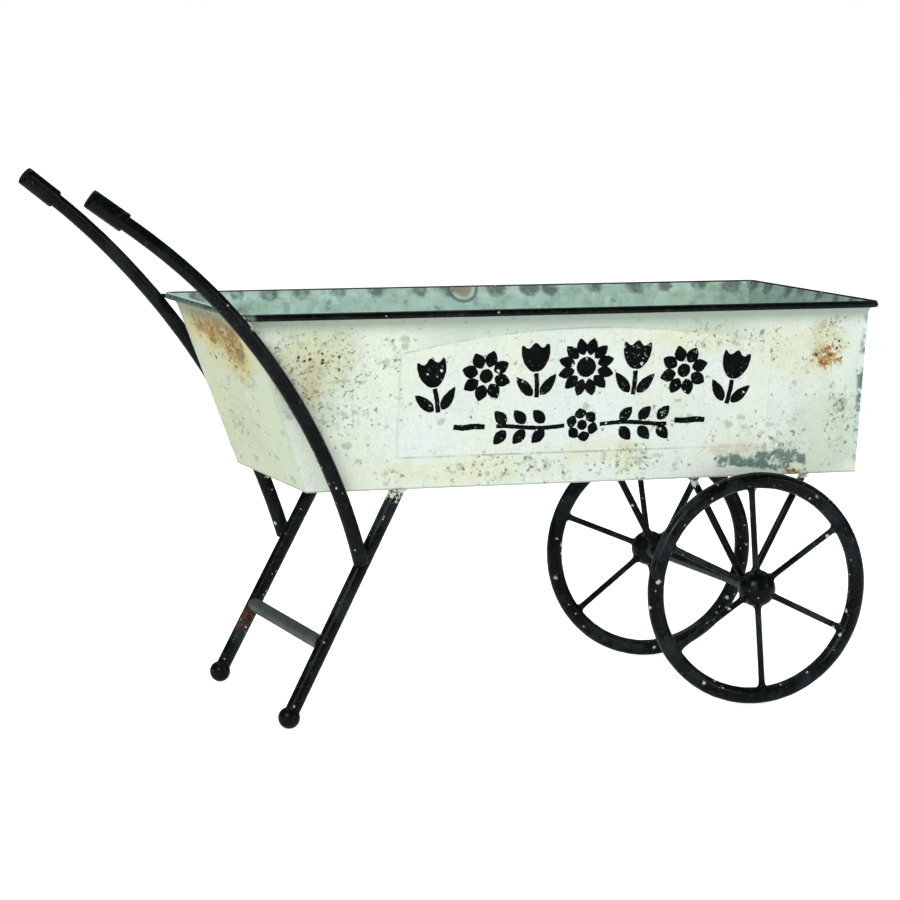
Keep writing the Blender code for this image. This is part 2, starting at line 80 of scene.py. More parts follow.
HANDLES = {
    "right": {"x": -0.1160, "z": 0.1388, "lean": 15.0, "bend_r": 0.5200, "bend": 39.3,
              "straight": 0.0395, "tip_half_y": 0.1303},
    "left": {"x": -0.1143, "z": 0.1298, "lean": 15.9, "bend_r": 0.6023, "bend": 36.3,
             "straight": 0.0285, "tip_half_y": 0.1336},
}
HANDLE_RIM_HALF_Y = 0.1416
HANDLE_TOE_IN = 0.16
BEND_STEPS = 150                # drawn
STRAIGHT_STEPS = 14             # drawn
GRIP_R = 0.0085
GRIP_BORE_R = TUBE_R - 0.0002   # drawn
GRIP_LENGTH = 0.0340
AXLE_X = 0.2446
AXLE_R = 0.0050
WHEEL_R = 0.1024
WHEEL_HALF_Y = 0.1286
AXLE_HALF = WHEEL_HALF_Y + 0.0035  # drawn
WHEEL_TUBE_R = 0.0072
RING_R = WHEEL_R - WHEEL_TUBE_R  # from the axle to the middle of the wheel's bent tube
SPOKE_R = 0.00275
SPOKES = 6
SPOKE_SINK = 0.0006             # drawn: how far a spoke runs into the hub and the rim
SPOKE_PHASE = {"right": math.radians(34.0), "left": math.radians(38.0)}
HUB_R = 0.0165
HUB_BACK = 0.0145               # flat inboard face, from the hub centre
HUB_SEAM = 0.0100               # height of the seam between hub and cap
HUB_BORE_R = 0.0054             # drawn
HUB_EASE = 0.0004               # drawn: how much its edges on the flat face are eased
HUB_POCKET_R = 0.0095           # pocket inside the hub, round the push nut
HUB_POCKET_TOP = 0.0070         # how far it reaches past the hub centre
STRUT_R = 0.00325
STRUT_HALF_Y = 0.1060
STRUT_SPREAD = 0.0530
STRUT_SPLIT = 0.0010
STRUT_STOP = 0.0045             # drawn: a strut ends this far above the axle's centre
SIDES = {"right": -1, "left": 1}
ENDS = ("handles", "wheels")
SHARP_ANGLE = math.radians(50)  # drawn: edges sharper than this are not smoothed
X_AXIS = Vector((1, 0, 0))
Y_AXIS = Vector((0, 1, 0))
Z_AXIS = Vector((0, 0, 1))


# ---------------------------------------------------------------- materials


def srgb(red, green, blue):
    """Linear colour from 0 to 255 display values."""
    out = []
    for value in (red, green, blue):
        c = value / 255
        out.append(c / 12.92 if c <= 0.04045 else ((c + 0.055) / 1.055) ** 2.4)
    return (*out, 1.0)


class Shade:
    """A Principled material and the nodes that feed it; lengths are in metres."""

    def __init__(self, name):
        self.material = bpy.data.materials.new(name)
        self.material.use_nodes = True
        self.tree = self.material.node_tree
        self.shader = self.tree.nodes["Principled BSDF"]
        self.point = self.tree.nodes.new("ShaderNodeTexCoord").outputs["Object"]
        parts = self.node("ShaderNodeSeparateXYZ", {0: self.point})
        self.axis = {"X": parts.outputs[0], "Y": parts.outputs[1], "Z": parts.outputs[2]}

    def node(self, kind, values, **settings):
        made = self.tree.nodes.new(kind)
        for key, value in settings.items():
            setattr(made, key, value)
        for key, value in values.items():
            if isinstance(value, bpy.types.NodeSocket):
                self.tree.links.new(value, made.inputs[key])
            else:
                made.inputs[key].default_value = value
        return made

    def noise(self, size, detail=4.0, rough=0.55, point=None, seed=0.0):
        """Smooth noise from 0 to 1 whose features are about size metres across."""
        source = point or self.point
        moved = self.node("ShaderNodeVectorMath", {0: source, 1: (seed, seed * 0.7, seed * 1.3)})
        values = {"Vector": moved.outputs[0], "Scale": 1 / size, "Detail": detail, "Roughness": rough}
        return self.node("ShaderNodeTexNoise", values).outputs[0]

    def cells(self, size, point):
        """Voronoi cells about size metres across: distance to the centre and a random colour."""
        made = self.node("ShaderNodeTexVoronoi", {"Vector": point, "Scale": 1 / size})
        return made.outputs["Distance"], made.outputs["Color"]

    def ramp(self, value, low, high, at_low=0.0, at_high=1.0):
        """Smooth step from at_low to at_high as value goes from low to high."""
        made = self.node("ShaderNodeMapRange", {0: value, 1: low, 2: high, 3: at_low, 4: at_high},
                         interpolation_type="SMOOTHSTEP")
        return made.outputs[0]

    def math(self, operation, a, b=0.0):
        return self.node("ShaderNodeMath", {0: a, 1: b}, operation=operation).outputs[0]

    def chain(self, operation, first, *others):
        """One operation applied along a row of values."""
        for other in others:
            first = self.math(operation, first, other)
        return first

    def add(self, *values):
        return self.chain("ADD", *values)

    def less(self, *values):
        return self.chain("SUBTRACT", *values)

    def times(self, *values):
        return self.chain("MULTIPLY", *values)

    def most(self, *values):
        return self.chain("MAXIMUM", *values)

    def length(self, across, up):
        """Distance from the origin of a point at (across, up)."""
        return self.math("SQRT", self.add(self.times(across, across), self.times(up, up)))

    def patches(self, size, low, high, detail, rough=0.55, seed=0.0, levels=(0.0, 1.0)):
        """Noise cut to soft-edged patches between two thresholds."""
        return self.ramp(self.noise(size, detail, rough, seed=seed), low, high, *levels)

    def mix(self, amount, a, b):
        return self.node("ShaderNodeMix", {0: amount, 6: a, 7: b}, data_type="RGBA").outputs[2]

    def region(self, across, spot, seed):
        """1 inside an ellipse in the plane of one axis and Z, fading out with a ragged edge.

        spot is the ellipse in millimetres: two centre coordinates and two radii.
        """
        center, height, radius, radius_z = (value / 1000 for value in spot)
        da = self.math("DIVIDE", self.less(self.axis[across], center), radius)
        dz = self.math("DIVIDE", self.less(self.axis["Z"], height), radius_z)
        distance = self.add(self.length(da, dz), self.noise(0.02, seed=seed))
        return self.ramp(distance, 0.95, 1.60, 1.0, 0.0)

    def stain(self, color, rgb, amount, *masks):
        """Colour shifted by amount towards an sRGB colour where every mask is 1."""
        return self.mix(self.times(*masks, amount), color, srgb(*rgb))

    def specks(self, size, share, density=None, *, seed):
        """Irregular dots: size is the grid they sit on, share the part of it that has one."""
        wobble = self.node("ShaderNodeTexNoise", {"Vector": self.point, "Scale": 1.6 / size,
                                                  "Detail": 3.0})
        pushed = self.node("ShaderNodeVectorMath", {0: wobble.outputs["Color"], "Scale": size * 0.9},
                           operation="SCALE")
        moved = self.node("ShaderNodeVectorMath", {0: self.point, 1: pushed.outputs[0]})
        shifted = self.node("ShaderNodeVectorMath", {0: moved.outputs[0], 1: (seed, seed, seed)})
        distance, color = self.cells(size, shifted.outputs[0])
        draw = self.node("ShaderNodeSeparateColor", {0: color})
        radius = self.ramp(draw.outputs[1], 0.0, 1.0, 0.12, 0.42)
        inside = self.less(1.0, self.math("DIVIDE", distance, radius))
        dot = self.ramp(inside, 0.0, 0.5)
        chance = self.times(density, share) if density is not None else share
        chosen = self.math("LESS_THAN", draw.outputs[0], chance)
        return self.times(dot, chosen)

    def bump(self, height, distance, strength):
        values = {"Height": height, "Distance": distance, "Strength": strength}
        return self.node("ShaderNodeBump", values).outputs[0]

    def finish(self, color, roughness, normal=None, **fixed):
        """Link the sockets to the shader and set its other inputs to fixed values."""
        sockets = {"Base Color": color, "Roughness": roughness, "Normal": normal}
        for key, socket in sockets.items():
            if socket is not None:
                self.tree.links.new(socket, self.shader.inputs[key])
        for key, value in fixed.items():
            self.shader.inputs[key.replace("_", " ")].default_value = value
        return self.material


# Wear on a wall, by kind, where some regions behind the handle and under a rim bead are also painted
# shade: each region is (centre across, centre Z, radius across, radius Z) in mm.
SIDE_WEAR = {
    "right": {
        "rust": ((306, 304, 21, 15), (283, 202, 12, 4)),
        "rust_specks": ((310, 320, 26, 26), (124, 221, 12, 17),
                        (-166, 300, 22, 40), (-140, 318, 26, 24)),
        # Moss is dirt; its regions round X -165 also darken the wall behind the handle as painted shade.
        "moss": ((205, 327, 50, 14), (240, 318, 40, 22),
                 (-165, 322, 50, 34), (-165, 300, 40, 50),
                 (-135, 290, 46, 56), (-94, 318, 14, 20),
                 (10, 218, 70, 18), (-85, 212, 18, 14),
                 (120, 218, 50, 16), (262, 232, 55, 24),
                 (325, 245, 20, 35)),
        # The second green region is painted shade of the handle on the wall behind it.
        "green": ((318, 238, 55, 50), (-160, 305, 50, 60)),
        "yellow": ((98, 228, 62, 12), (282, 312, 60, 34),
                   (-165, 310, 40, 40), (-20, 214, 100, 14), (200, 325, 60, 18)),
        "pink": ((229, 224.5, 30, 7), (-160, 292, 12, 30)),
        "bare": ((240, 214, 36, 8), (270, 213.5, 34, 11)),
        "chips": ((345, 270, 7, 80),),
    },
    "left": {
        "rust": ((-120, 310, 22, 20),),
        "rust_specks": ((-100, 300, 50, 30),),
        "moss": ((180, 215, 100, 20), (300, 330, 50, 18), (-50, 330, 60, 14),
                 (50, 260, 50, 30)),
        "green": ((-140, 240, 60, 40),),
        "yellow": ((50, 222, 110, 18), (-150, 280, 30, 60)),
        "pink": ((20, 320, 30, 10),),
        "bare": ((320, 212, 30, 10), (-60, 208, 30, 7)),
        "chips": ((-190, 290, 10, 60),),
    },
}
HANDLE_END_WEAR = {
    "rust": ((62, 338, 48, 14), (20, 330, 50, 20), (-25, 318, 36, 22)),
    "halo": ((55, 334, 110, 34), (-30, 322, 75, 42)),
    "burn": ((55, 340, 72, 19), (4, 334, 62, 24), (-33, 320, 36, 24)),
    "rust_specks": ((10, 322, 110, 34),),
    "yellow": ((20, 322, 120, 36), (80, 262, 40, 60)),
    "moss": ((-40, 300, 50, 30), (50, 240, 50, 24)),
    # The first green region is painted shade under the rim bead.
    "green": ((0, 347, 140, 7), (-120, 265, 12, 50)),
    "chips": ((-130, 280, 6, 70),),
}
WHEEL_END_WEAR = {
    "yellow": ((50, 300, 80, 50),),
    "rust": ((-70, 325, 35, 14),),
    "rust_specks": ((-50, 310, 60, 30),),
    "moss": ((30, 215, 100, 18),),
    "green": ((60, 250, 50, 40),),
    "bare": ((80, 212, 30, 9),),
}


def wear_masks(shade, wear, across):
    """Where each kind of wear is, some regions holding painted shade too: the union of its regions, on a
    wall along axis across.
    """
    masks = {}
    for kind, spots in wear.items():
        regions = [shade.region(across, spot, 0.11 * i + 0.3) for i, spot in enumerate(spots)]
        masks[kind] = shade.most(*regions)
    return masks


def lifted(shade, texture, density, gain, low, high):
    """Texture cut at a threshold that drops where density is high."""
    return shade.ramp(shade.add(texture, shade.times(density, gain)), low, high)


def paint_color(shade, wear, across, tint):
    """Aged white paint with some painted shade: colour, height and roughness sockets."""
    masks = wear_masks(shade, wear, across)
    none = shade.times(shade.axis["X"], 0.0)

    def mask(kind):
        return masks.get(kind, none)

    broad = shade.patches(0.090, 0.35, 0.65, 3.0, seed=1.7)
    color = shade.mix(broad, srgb(*tint[0]), srgb(*tint[1]))
    cloud = shade.patches(0.030, 0.42, 0.72, 6.0, 0.65, seed=4.1)
    color = shade.mix(shade.times(cloud, 0.38), color, srgb(*tint[2]))
    fine = shade.patches(0.0030, 0.40, 0.72, 4.0, 0.7, seed=2.9)
    color = shade.stain(color, (170, 184, 166), 0.22, fine)
    grain = shade.patches(0.0012, 0.50, 0.72, 2.0, 0.6, seed=6.9)
    color = shade.stain(color, (140, 152, 132), 0.14, grain)
    # Green stains; some of their regions are painted shade.
    color = shade.stain(color, (166, 190, 166), 0.42, mask("green"))

    stain = shade.patches(0.011, 0.38, 0.62, 7.0, 0.72, seed=8.2, levels=(0.30, 1.0))
    color = shade.stain(color, (208, 208, 160), 0.50, mask("yellow"), stain)
    color = shade.stain(color, (186, 164, 136), 0.50, mask("pink"), stain)
    streak_point = shade.node("ShaderNodeMapping", {"Vector": shade.point, "Scale": (1, 1, 0.12)})
    streaks = shade.noise(0.006, 3.0, 0.6, point=streak_point.outputs[0])
    color = shade.stain(color, (176, 184, 150), 0.12, shade.ramp(streaks, 0.5, 0.8))

    ragged = shade.noise(0.008, 7.0, 0.72, seed=7.7)
    rough_bare = lifted(shade, ragged, mask("bare"), 0.20, 0.57, 0.70)
    bare = shade.times(rough_bare, shade.ramp(mask("bare"), 0.02, 0.25))
    chips = shade.times(mask("chips"), shade.patches(0.012, 0.49, 0.57, 4.0, 0.6, seed=9.1))
    bare = shade.most(bare, chips)
    color = shade.stain(color, (74, 110, 100), 0.90, bare)

    moss = shade.add(mask("moss"), shade.patches(0.045, 0.5, 0.75, 2.0, seed=14.0))
    smudge = lifted(shade, shade.noise(0.0085, 7.0, 0.72, seed=3.3), moss, 0.085, 0.60, 0.72)
    color = shade.stain(color, (140, 152, 126), 0.58, smudge)
    spots = lifted(shade, shade.noise(0.0042, 3.0, 0.6, seed=5.5), moss, 0.085, 0.67, 0.74)
    color = shade.stain(color, (92, 98, 74), 0.75, spots)
    sparse = shade.specks(0.0120, 0.16, seed=2.5)
    color = shade.stain(color, (120, 132, 110), 0.45, sparse)
    pepper = shade.specks(0.0046, 0.060, seed=4.5)
    color = shade.stain(color, (80, 86, 68), 0.60, pepper)

    wash = shade.most(mask("rust"), mask("rust_specks"))
    color = shade.stain(color, (196, 192, 140), 0.40, wash, stain)
    color = shade.stain(color, (210, 192, 96), 0.75, mask("halo"), stain)
    color = shade.stain(color, (150, 120, 44), 0.80, shade.ramp(mask("burn"), 0.0, 0.6), stain)
    dark_burn = lifted(shade, shade.noise(0.012, 6.0, 0.7, seed=16.0), mask("burn"), 0.12, 0.56, 0.66)
    color = shade.stain(color, (92, 66, 28), 0.62, dark_burn, shade.ramp(mask("burn"), 0.2, 0.6))
    flecks = shade.noise(0.0050, 5.0, 0.72, seed=6.1)
    rust = shade.times(lifted(shade, flecks, mask("rust"), 0.17, 0.60, 0.70), mask("rust"))
    color = shade.stain(color, (168, 130, 56), 0.88, rust)
    core = lifted(shade, flecks, mask("rust"), 0.10, 0.67, 0.74)
    core = shade.times(core, shade.ramp(mask("rust"), 0.1, 0.5))
    color = shade.stain(color, (100, 66, 30), 0.9, core)
    near_rust = mask("rust_specks")
    dots = lifted(shade, shade.noise(0.0036, 4.0, 0.65, seed=11.5), near_rust, 0.11, 0.66, 0.74)
    dots = shade.times(dots, shade.ramp(near_rust, 0.05, 0.30))
    color = shade.stain(color, (126, 104, 66), 0.85, dots)
    dark = shade.specks(0.0050, 0.30, near_rust, seed=9.5)
    color = shade.mix(dark, color, srgb(58, 40, 24))

    edge = shade.ramp(shade.axis["Z"], TROUGH_Z + 0.0004, TROUGH_Z + 0.0020, 1.0, 0.0)
    color = shade.stain(color, (96, 104, 92), 0.55, edge)
    # Darker band just under the rim: grime, and painted shade of the rim bead.
    grime_and_rim_shade = shade.ramp(shade.axis["Z"], RIM_Z - 0.020, RIM_Z - 0.004, 0.0, 0.72)
    color = shade.mix(grime_and_rim_shade, color, srgb(146, 164, 148))

    height = shade.less(shade.times(fine, 0.35), shade.times(bare, 0.9))
    height = shade.less(height, shade.times(shade.most(core, dark, pepper), 0.7))
    roughness = shade.add(0.44, shade.times(cloud, 0.14))
    roughness = shade.add(roughness, shade.times(shade.most(rust, dots), 0.30))
    return color, height, roughness


# Paint tints of the side and end walls; the end walls' is darker as painted shade, and yellower as their
# paint is.
TINT_SIDE = ((220, 231, 226), (222, 231, 214), (200, 215, 204))
TINT_END_SHADED = ((206, 218, 192), (202, 214, 182), (190, 203, 170))


def paint_material(name, wear, across, tint, pressed=False, stretch=None):
    """Painted outside of one wall; stretch lengthens its marks along the wall."""
    shade = Shade(name)
    if stretch:
        shade.point = shade.node("ShaderNodeMapping", {"Vector": shade.point,
                                                       "Scale": stretch}).outputs[0]
    color, height, roughness = paint_color(shade, wear, across, tint)
    if pressed:
        line, rim_shade_above_arch = groove_line(shade)
        # Painted shade of the rim between the arch and the rim, then the dark line round the panel.
        color = shade.stain(color, (158, 182, 168), 0.40, rim_shade_above_arch)
        color = shade.stain(color, (112, 124, 108), 0.55, line)
    fine = shade.noise(0.0016, 3.0, 0.6, seed=5.0)
    normal = shade.bump(shade.add(height, shade.times(fine, 0.3)), 0.0004, 0.7)
    return shade.finish(color, roughness, normal, Specular_IOR_Level=0.35)


def groove_line(shade):
    """A dark line along the border of the pressed panel, and painted shade of the rim on the sheet between
    its arch and the rim.
    """
    x0, x1 = PRESSING_X
    middle = (x0 + x1) / 2
    dx = shade.less(shade.axis["X"], middle)
    dz = shade.less(shade.axis["Z"], PRESSING_Z[1] - PRESSING_ARCH_R)
    arch = shade.less(PRESSING_ARCH_R, shade.length(dx, dz))
    left = shade.less(shade.axis["X"], x0)
    right = shade.less(x1, shade.axis["X"])
    low = shade.less(shade.axis["Z"], PRESSING_Z[0])
    inside = shade.math("MINIMUM", shade.math("MINIMUM", arch, low),
                        shade.math("MINIMUM", left, right))
    off = shade.math("ABSOLUTE", shade.less(inside, 0.0008))
    broken = shade.patches(0.025, 0.34, 0.60, 4.0, seed=15.0, levels=(0.25, 1.0))
    broken = shade.times(broken, shade.ramp(shade.axis["X"], 0.15, 0.22, 1.0, 0.25),
                         shade.ramp(left, 0.0030, 0.0120, 0.35, 1.0))
    window = shade.times(shade.ramp(shade.axis["X"], -0.09, -0.02),
                         shade.ramp(shade.axis["X"], 0.20, 0.26, 1.0, 0.0))
    # Painted shade: the sheet between the arch and the rim, shaded by the rim.
    rim_shade_above_arch = shade.times(shade.ramp(arch, -0.0010, 0.0010, 1.0, 0.0), window)
    return shade.times(shade.ramp(off, 0.0003, 0.0011, 1.0, 0.0), broken), rim_shade_above_arch


def zinc_color(shade):
    """Weathered galvanised sheet with its spangle: colour, height and roughness sockets."""
    bent = shade.node("ShaderNodeTexNoise", {"Vector": shade.point, "Scale": 60.0, "Detail": 2.0})
    push = shade.node("ShaderNodeVectorMath", {0: bent.outputs["Color"], "Scale": 0.010},
                      operation="SCALE")
    moved = shade.node("ShaderNodeVectorMath", {0: shade.point, 1: push.outputs[0]})
    _, tone = shade.cells(0.0125, moved.outputs[0])
    draw = shade.node("ShaderNodeSeparateColor", {0: tone})
    color = shade.mix(draw.outputs[0], srgb(172, 206, 192), srgb(200, 232, 220))
    color = shade.stain(color, (196, 220, 224), 0.35, draw.outputs[1])
    broad = shade.patches(0.060, 0.40, 0.65, 3.0, seed=1.0)
    color = shade.stain(color, (190, 218, 188), 0.40, broad)
    pale = shade.patches(0.016, 0.52, 0.66, 5.0, 0.65, seed=19.0)
    color = shade.stain(color, (214, 238, 230), 0.55, pale)
    grime = shade.patches(0.013, 0.48, 0.70, 6.0, 0.70, seed=3.0)
    color = shade.stain(color, (118, 146, 134), 0.60, grime)
    dots = shade.specks(0.0075, 0.22, seed=1.5)
    color = shade.stain(color, (110, 128, 112), 0.45, dots)
    height = shade.add(draw.outputs[0], shade.times(grime, 0.6))
    roughness = shade.add(0.42, shade.times(draw.outputs[2], 0.16))
    return color, height, roughness


def ring_mark(shade, color):
    """A ring left by something that stood against the far wall, brown in its middle."""
    da = shade.less(shade.axis["X"], 0.0605)
    dz = shade.less(shade.axis["Z"], RIM_Z + 0.0020)
    far = shade.math("SQRT", shade.add(shade.times(da, da), shade.times(dz, dz, 1.2)))
    far = shade.add(far, shade.times(shade.noise(0.006), 0.002))
    ring = shade.ramp(shade.math("ABSOLUTE", shade.less(far, 0.0145)), 0.0008, 0.0024,
                      1.0, 0.0)
    far_side = shade.math("GREATER_THAN", shade.axis["Y"], 0.0)
    color = shade.stain(color, (96, 112, 106), 0.75, ring, far_side)
    core = shade.ramp(far, 0.0080, 0.0118, 1.0, 0.0)
    return shade.stain(color, (150, 122, 92), 0.70, core, far_side)


def zinc_material(name, scallops, dull_and_shade):
    """Bare galvanised sheet; scallops is the wall's long axis if stains hang from its rim; the last
    argument darkens the whole sheet as painted shade.
    """
    shade = Shade(name)
    color, height, roughness = zinc_color(shade)
    # Painted shade: the wheel end's inside lies in shade, so its sheet is darkened all over.
    if dull_and_shade:
        color = shade.mix(dull_and_shade, color, srgb(74, 96, 88))
    if scallops:
        pitch = 0.0345
        along = shade.math("DIVIDE", shade.axis[scallops], pitch)
        cell = shade.math("FLOOR", along)
        draw = shade.node("ShaderNodeTexWhiteNoise", {"W": cell}, noise_dimensions="1D")
        shift = shade.times(shade.less(draw.outputs[0], 0.5), 0.50)
        local = shade.less(shade.math("FRACT", along), shade.add(shift, 0.5))
        da = shade.times(local, pitch * 0.80)
        dz = shade.less(shade.axis["Z"], RIM_Z + 0.0010)
        wobble = shade.times(shade.noise(0.006, 4.0, 0.65), 0.007)
        radius = shade.ramp(draw.outputs[1], 0.0, 1.0, 0.0082, 0.0118)
        depth = shade.less(radius, shade.add(shade.length(da, dz), wobble))
        stain = shade.times(shade.ramp(depth, -0.0026, 0.0016),
                            shade.patches(0.010, 0.36, 0.56, 5.0, 0.7, seed=9.0, levels=(0.45, 1.0)))
        color = shade.stain(color, (78, 92, 82), 0.78, stain)
        # Paler lower down the inside, fading out just under the rim.
        dust_and_sheen = shade.ramp(shade.axis["Z"], RIM_Z - 0.030, RIM_Z - 0.014, 0.35, 0.0)
        color = shade.mix(dust_and_sheen, color, srgb(198, 220, 186))
    if scallops == "X":
        color = ring_mark(shade, color)
    normal = shade.bump(height, 0.0002, 0.5)
    return shade.finish(color, roughness, normal, Metallic=0.25, Specular_IOR_Level=0.4)


def black_material(name, dust_and_sheen, cream, gloss, rust=0.0, fade=None, patch=None):
    """Satin black paint with dusty blue-grey patches, partly painted sheen, cream paint spatter and a
    little rust.

    fade gives two heights between which the spatter thins out; patch adds marks that only some
    pieces have, and gives back the colour and where they have dulled the paint.
    """
    shade = Shade(name)
    broad = shade.patches(0.030, 0.35, 0.70, 4.0, 0.6)
    color = shade.mix(broad, srgb(3, 6, 6), srgb(9, 14, 15))
    # Blue-grey film and pale grey specks: dust, and also painted sheen standing in for highlight streaks.
    dust_film_and_sheen = shade.patches(0.040, 0.48, 0.70, 5.0, 0.65, seed=12.0)
    color = shade.mix(shade.times(dust_film_and_sheen, dust_and_sheen), color, srgb(46, 60, 64))
    worn = shade.patches(0.005, 0.55, 0.76, 5.0, 0.7, seed=2.0)
    color = shade.mix(shade.times(worn, dust_and_sheen), color, srgb(78, 88, 86))
    brown = shade.patches(0.012, 0.62, 0.74, 4.0, 0.65, seed=5.0)
    color = shade.mix(shade.times(brown, 0.20 + rust), color, srgb(56, 42, 32))
    if patch:
        color, dull_and_shade = patch(shade, color)
        worn = shade.most(worn, dull_and_shade)
    density = shade.ramp(shade.axis["Z"], *fade, 1.0, 0.1) if fade else None
    spatter = shade.specks(0.0062, cream, density, seed=1.2)
    fleck = shade.specks(0.0030, cream * 0.6, density, seed=3.2)
    white = shade.most(spatter, shade.times(fleck, 0.7))
    color = shade.stain(color, (200, 202, 176), 0.90, white)
    fine = shade.noise(0.0012, 4.0, 0.6, seed=4.0)
    height = shade.add(shade.times(fine, 0.6), shade.add(worn, white))
    roughness = shade.add(gloss - 0.06, shade.times(shade.most(worn, dust_film_and_sheen), 0.16))
    normal = shade.bump(height, 0.00025, 0.7)
    return shade.finish(color, roughness, normal, Specular_IOR_Level=0.13)


def rubbed_end(shade, color):
    """Rim rubbed down to grey-green metal along the handle end."""
    rubbed = shade.ramp(shade.axis["X"], RIM_X[0] - 0.0020, RIM_X[0] + 0.0030, 0.92, 0.0)
    tone = shade.patches(0.009, 0.40, 0.62, 5.0, 0.65, seed=7.0)
    metal = shade.mix(tone, srgb(60, 76, 66), srgb(104, 124, 108))
    return shade.mix(rubbed, color, metal), rubbed


def rust_band(shade, color):
    """Brown rust round one leg below the crossbar."""
    off = shade.math("ABSOLUTE", shade.less(shade.axis["Z"], 0.058))
    ragged = shade.patches(0.006, 0.42, 0.60, 6.0, 0.70, seed=6.0)
    rust = shade.times(shade.ramp(off, 0.004, 0.013, 1.0, 0.0), ragged)
    return shade.stain(color, (92, 56, 34), 0.85, rust), rust


def overspray(shade, color):
    """White paint from the trough, caught on the top of a leg or strut."""
    rise = shade.ramp(shade.axis["Z"], TROUGH_Z - 0.014, TROUGH_Z - 0.001)
    texture = shade.noise(0.0050, 5.0, 0.7, seed=31.0)
    patch = lifted(shade, texture, rise, 0.17, 0.60, 0.66)
    near = shade.math("LESS_THAN", shade.axis["Y"], 0.0)
    patch = shade.times(patch, near, shade.ramp(rise, 0.0, 0.2))
    return shade.stain(color, (208, 216, 196), 0.9, patch), patch


def crossbar_material():
    """Crossbar worn down to matt grey-green zinc, creamier towards its near end."""
    shade = Shade("worn_crossbar")
    color, height, roughness = zinc_color(shade)
    color = shade.mix(0.955, color, srgb(44, 55, 51))
    patch = shade.patches(0.014, 0.48, 0.68, 5.0, 0.65, seed=2.0)
    color = shade.stain(color, (88, 98, 84), 0.45, patch)
    near = shade.ramp(shade.axis["Y"], -0.112, -0.070, 1.0, 0.0)
    cream = shade.times(near, shade.patches(0.008, 0.40, 0.62, 5.0, 0.6))
    color = shade.stain(color, (124, 118, 88), 0.40, cream)
    dots = shade.specks(0.0035, 0.25, seed=2.2)
    color = shade.stain(color, (30, 34, 32), 0.8, dots)
    normal = shade.bump(height, 0.0003, 0.6)
    return shade.finish(color, roughness, normal, Specular_IOR_Level=0.25)


def stencil_material():
    """Black stencilled print, worn through to the white paint in places."""
    shade = Shade("stencil_black")
    paint, _, _ = paint_color(shade, SIDE_WEAR["right"], "X", TINT_SIDE)
    ink = shade.mix(shade.patches(0.012, 0.35, 0.7, 4.0), srgb(3, 7, 7), srgb(12, 18, 17))
    worn = shade.patches(0.0026, 0.615, 0.66, 5.0, 0.7, seed=21.0)
    patchy = shade.patches(0.030, 0.42, 0.62, 3.0, seed=23.0)
    gone = shade.most(shade.times(worn, patchy), shade.times(shade.specks(0.0042, 0.10, seed=6.6), 0.9))
    color = shade.mix(gone, ink, paint)
    roughness = shade.add(0.50, shade.times(gone, 0.1))
    normal = shade.bump(shade.less(0.5, gone), 0.0001, 0.5)
    return shade.finish(color, roughness, normal, Specular_IOR_Level=0.05)


# ---------------------------------------------------------------- mesh helpers


def add_piece(name, shape, materials, body="cart_frame", replaces=(),
              face_material=None):
    """A named, smooth-shaded mesh that rides on a CAD body; shape is its points and faces."""
    verts, faces = shape
    mesh = bpy.data.meshes.new(name)
    mesh.from_pydata([tuple(v) for v in verts], [], [tuple(f) for f in faces])
    if not isinstance(materials, (list, tuple)):
        materials = [materials]
    for material in materials:
        mesh.materials.append(material)
    if face_material is not None:
        mesh.polygons.foreach_set("material_index", face_material)
    bm = bmesh.new()
    bm.from_mesh(mesh)
    bmesh.ops.recalc_face_normals(bm, faces=bm.faces[:])
    bm.to_mesh(mesh)
    bm.free()
    mesh.shade_smooth()
    mesh.set_sharp_from_angle(angle=SHARP_ANGLE)
    obj = bpy.data.objects.new(name, mesh)
    bpy.context.collection.objects.link(obj)
    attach(obj, body)
    if replaces:
        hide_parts(*replaces)
    return obj


def add_bar(name, node, path, radii, segments, reference, material, body="cart_frame",
            rough=0.0001):
    """A round bar that replaces one CAD node."""
    skin = sweep(path, radii, segments, reference, rough=rough)
    add_piece(name, skin, material, body=body, replaces=(node,))


class Shells:
    """Collects several closed shells into one mesh."""

    def __init__(self):
        self.shape = ([], [])

    def add(self, verts, faces):
        all_verts, all_faces = self.shape
        base = len(all_verts)
        all_verts.extend(verts)
        all_faces.extend(tuple(i + base for i in face) for face in faces)


def circle(count):
    """Cosine and sine of count equal turns."""
    for i in range(count):
        angle = 2 * math.pi * i / count
        yield math.cos(angle), math.sin(angle)


def tube_faces(rows, closed=False):
    """Faces between rings of vertex numbers; a ring of one number is a pole."""
    faces = []
    pairs = list(zip(rows, rows[1:])) + ([(rows[-1], rows[0])] if closed else [])
    for low, high in pairs:
        count = max(len(low), len(high))
        for i in range(count):
            j = (i + 1) % count
            if len(low) == 1:
                faces.append((low[0], high[i], high[j]))
            elif len(high) == 1:
                faces.append((low[i], low[j], high[0]))
            else:
                faces.append((low[i], low[j], high[j], high[i]))
    return faces


def axis_pair(direction, reference):
    """Two unit vectors square to direction, the first nearest to reference."""
    first = (reference - reference.dot(direction) * direction).normalized()
    return first, direction.cross(first)


def tangents(path, closed):
    out = []
    last = len(path) - 1
    for i in range(len(path)):
        before = path[i - 1] if i > 0 or closed else path[0]
        after = path[(i + 1) % len(path)] if i < last or closed else path[last]
        out.append((after - before).normalized())
    return out


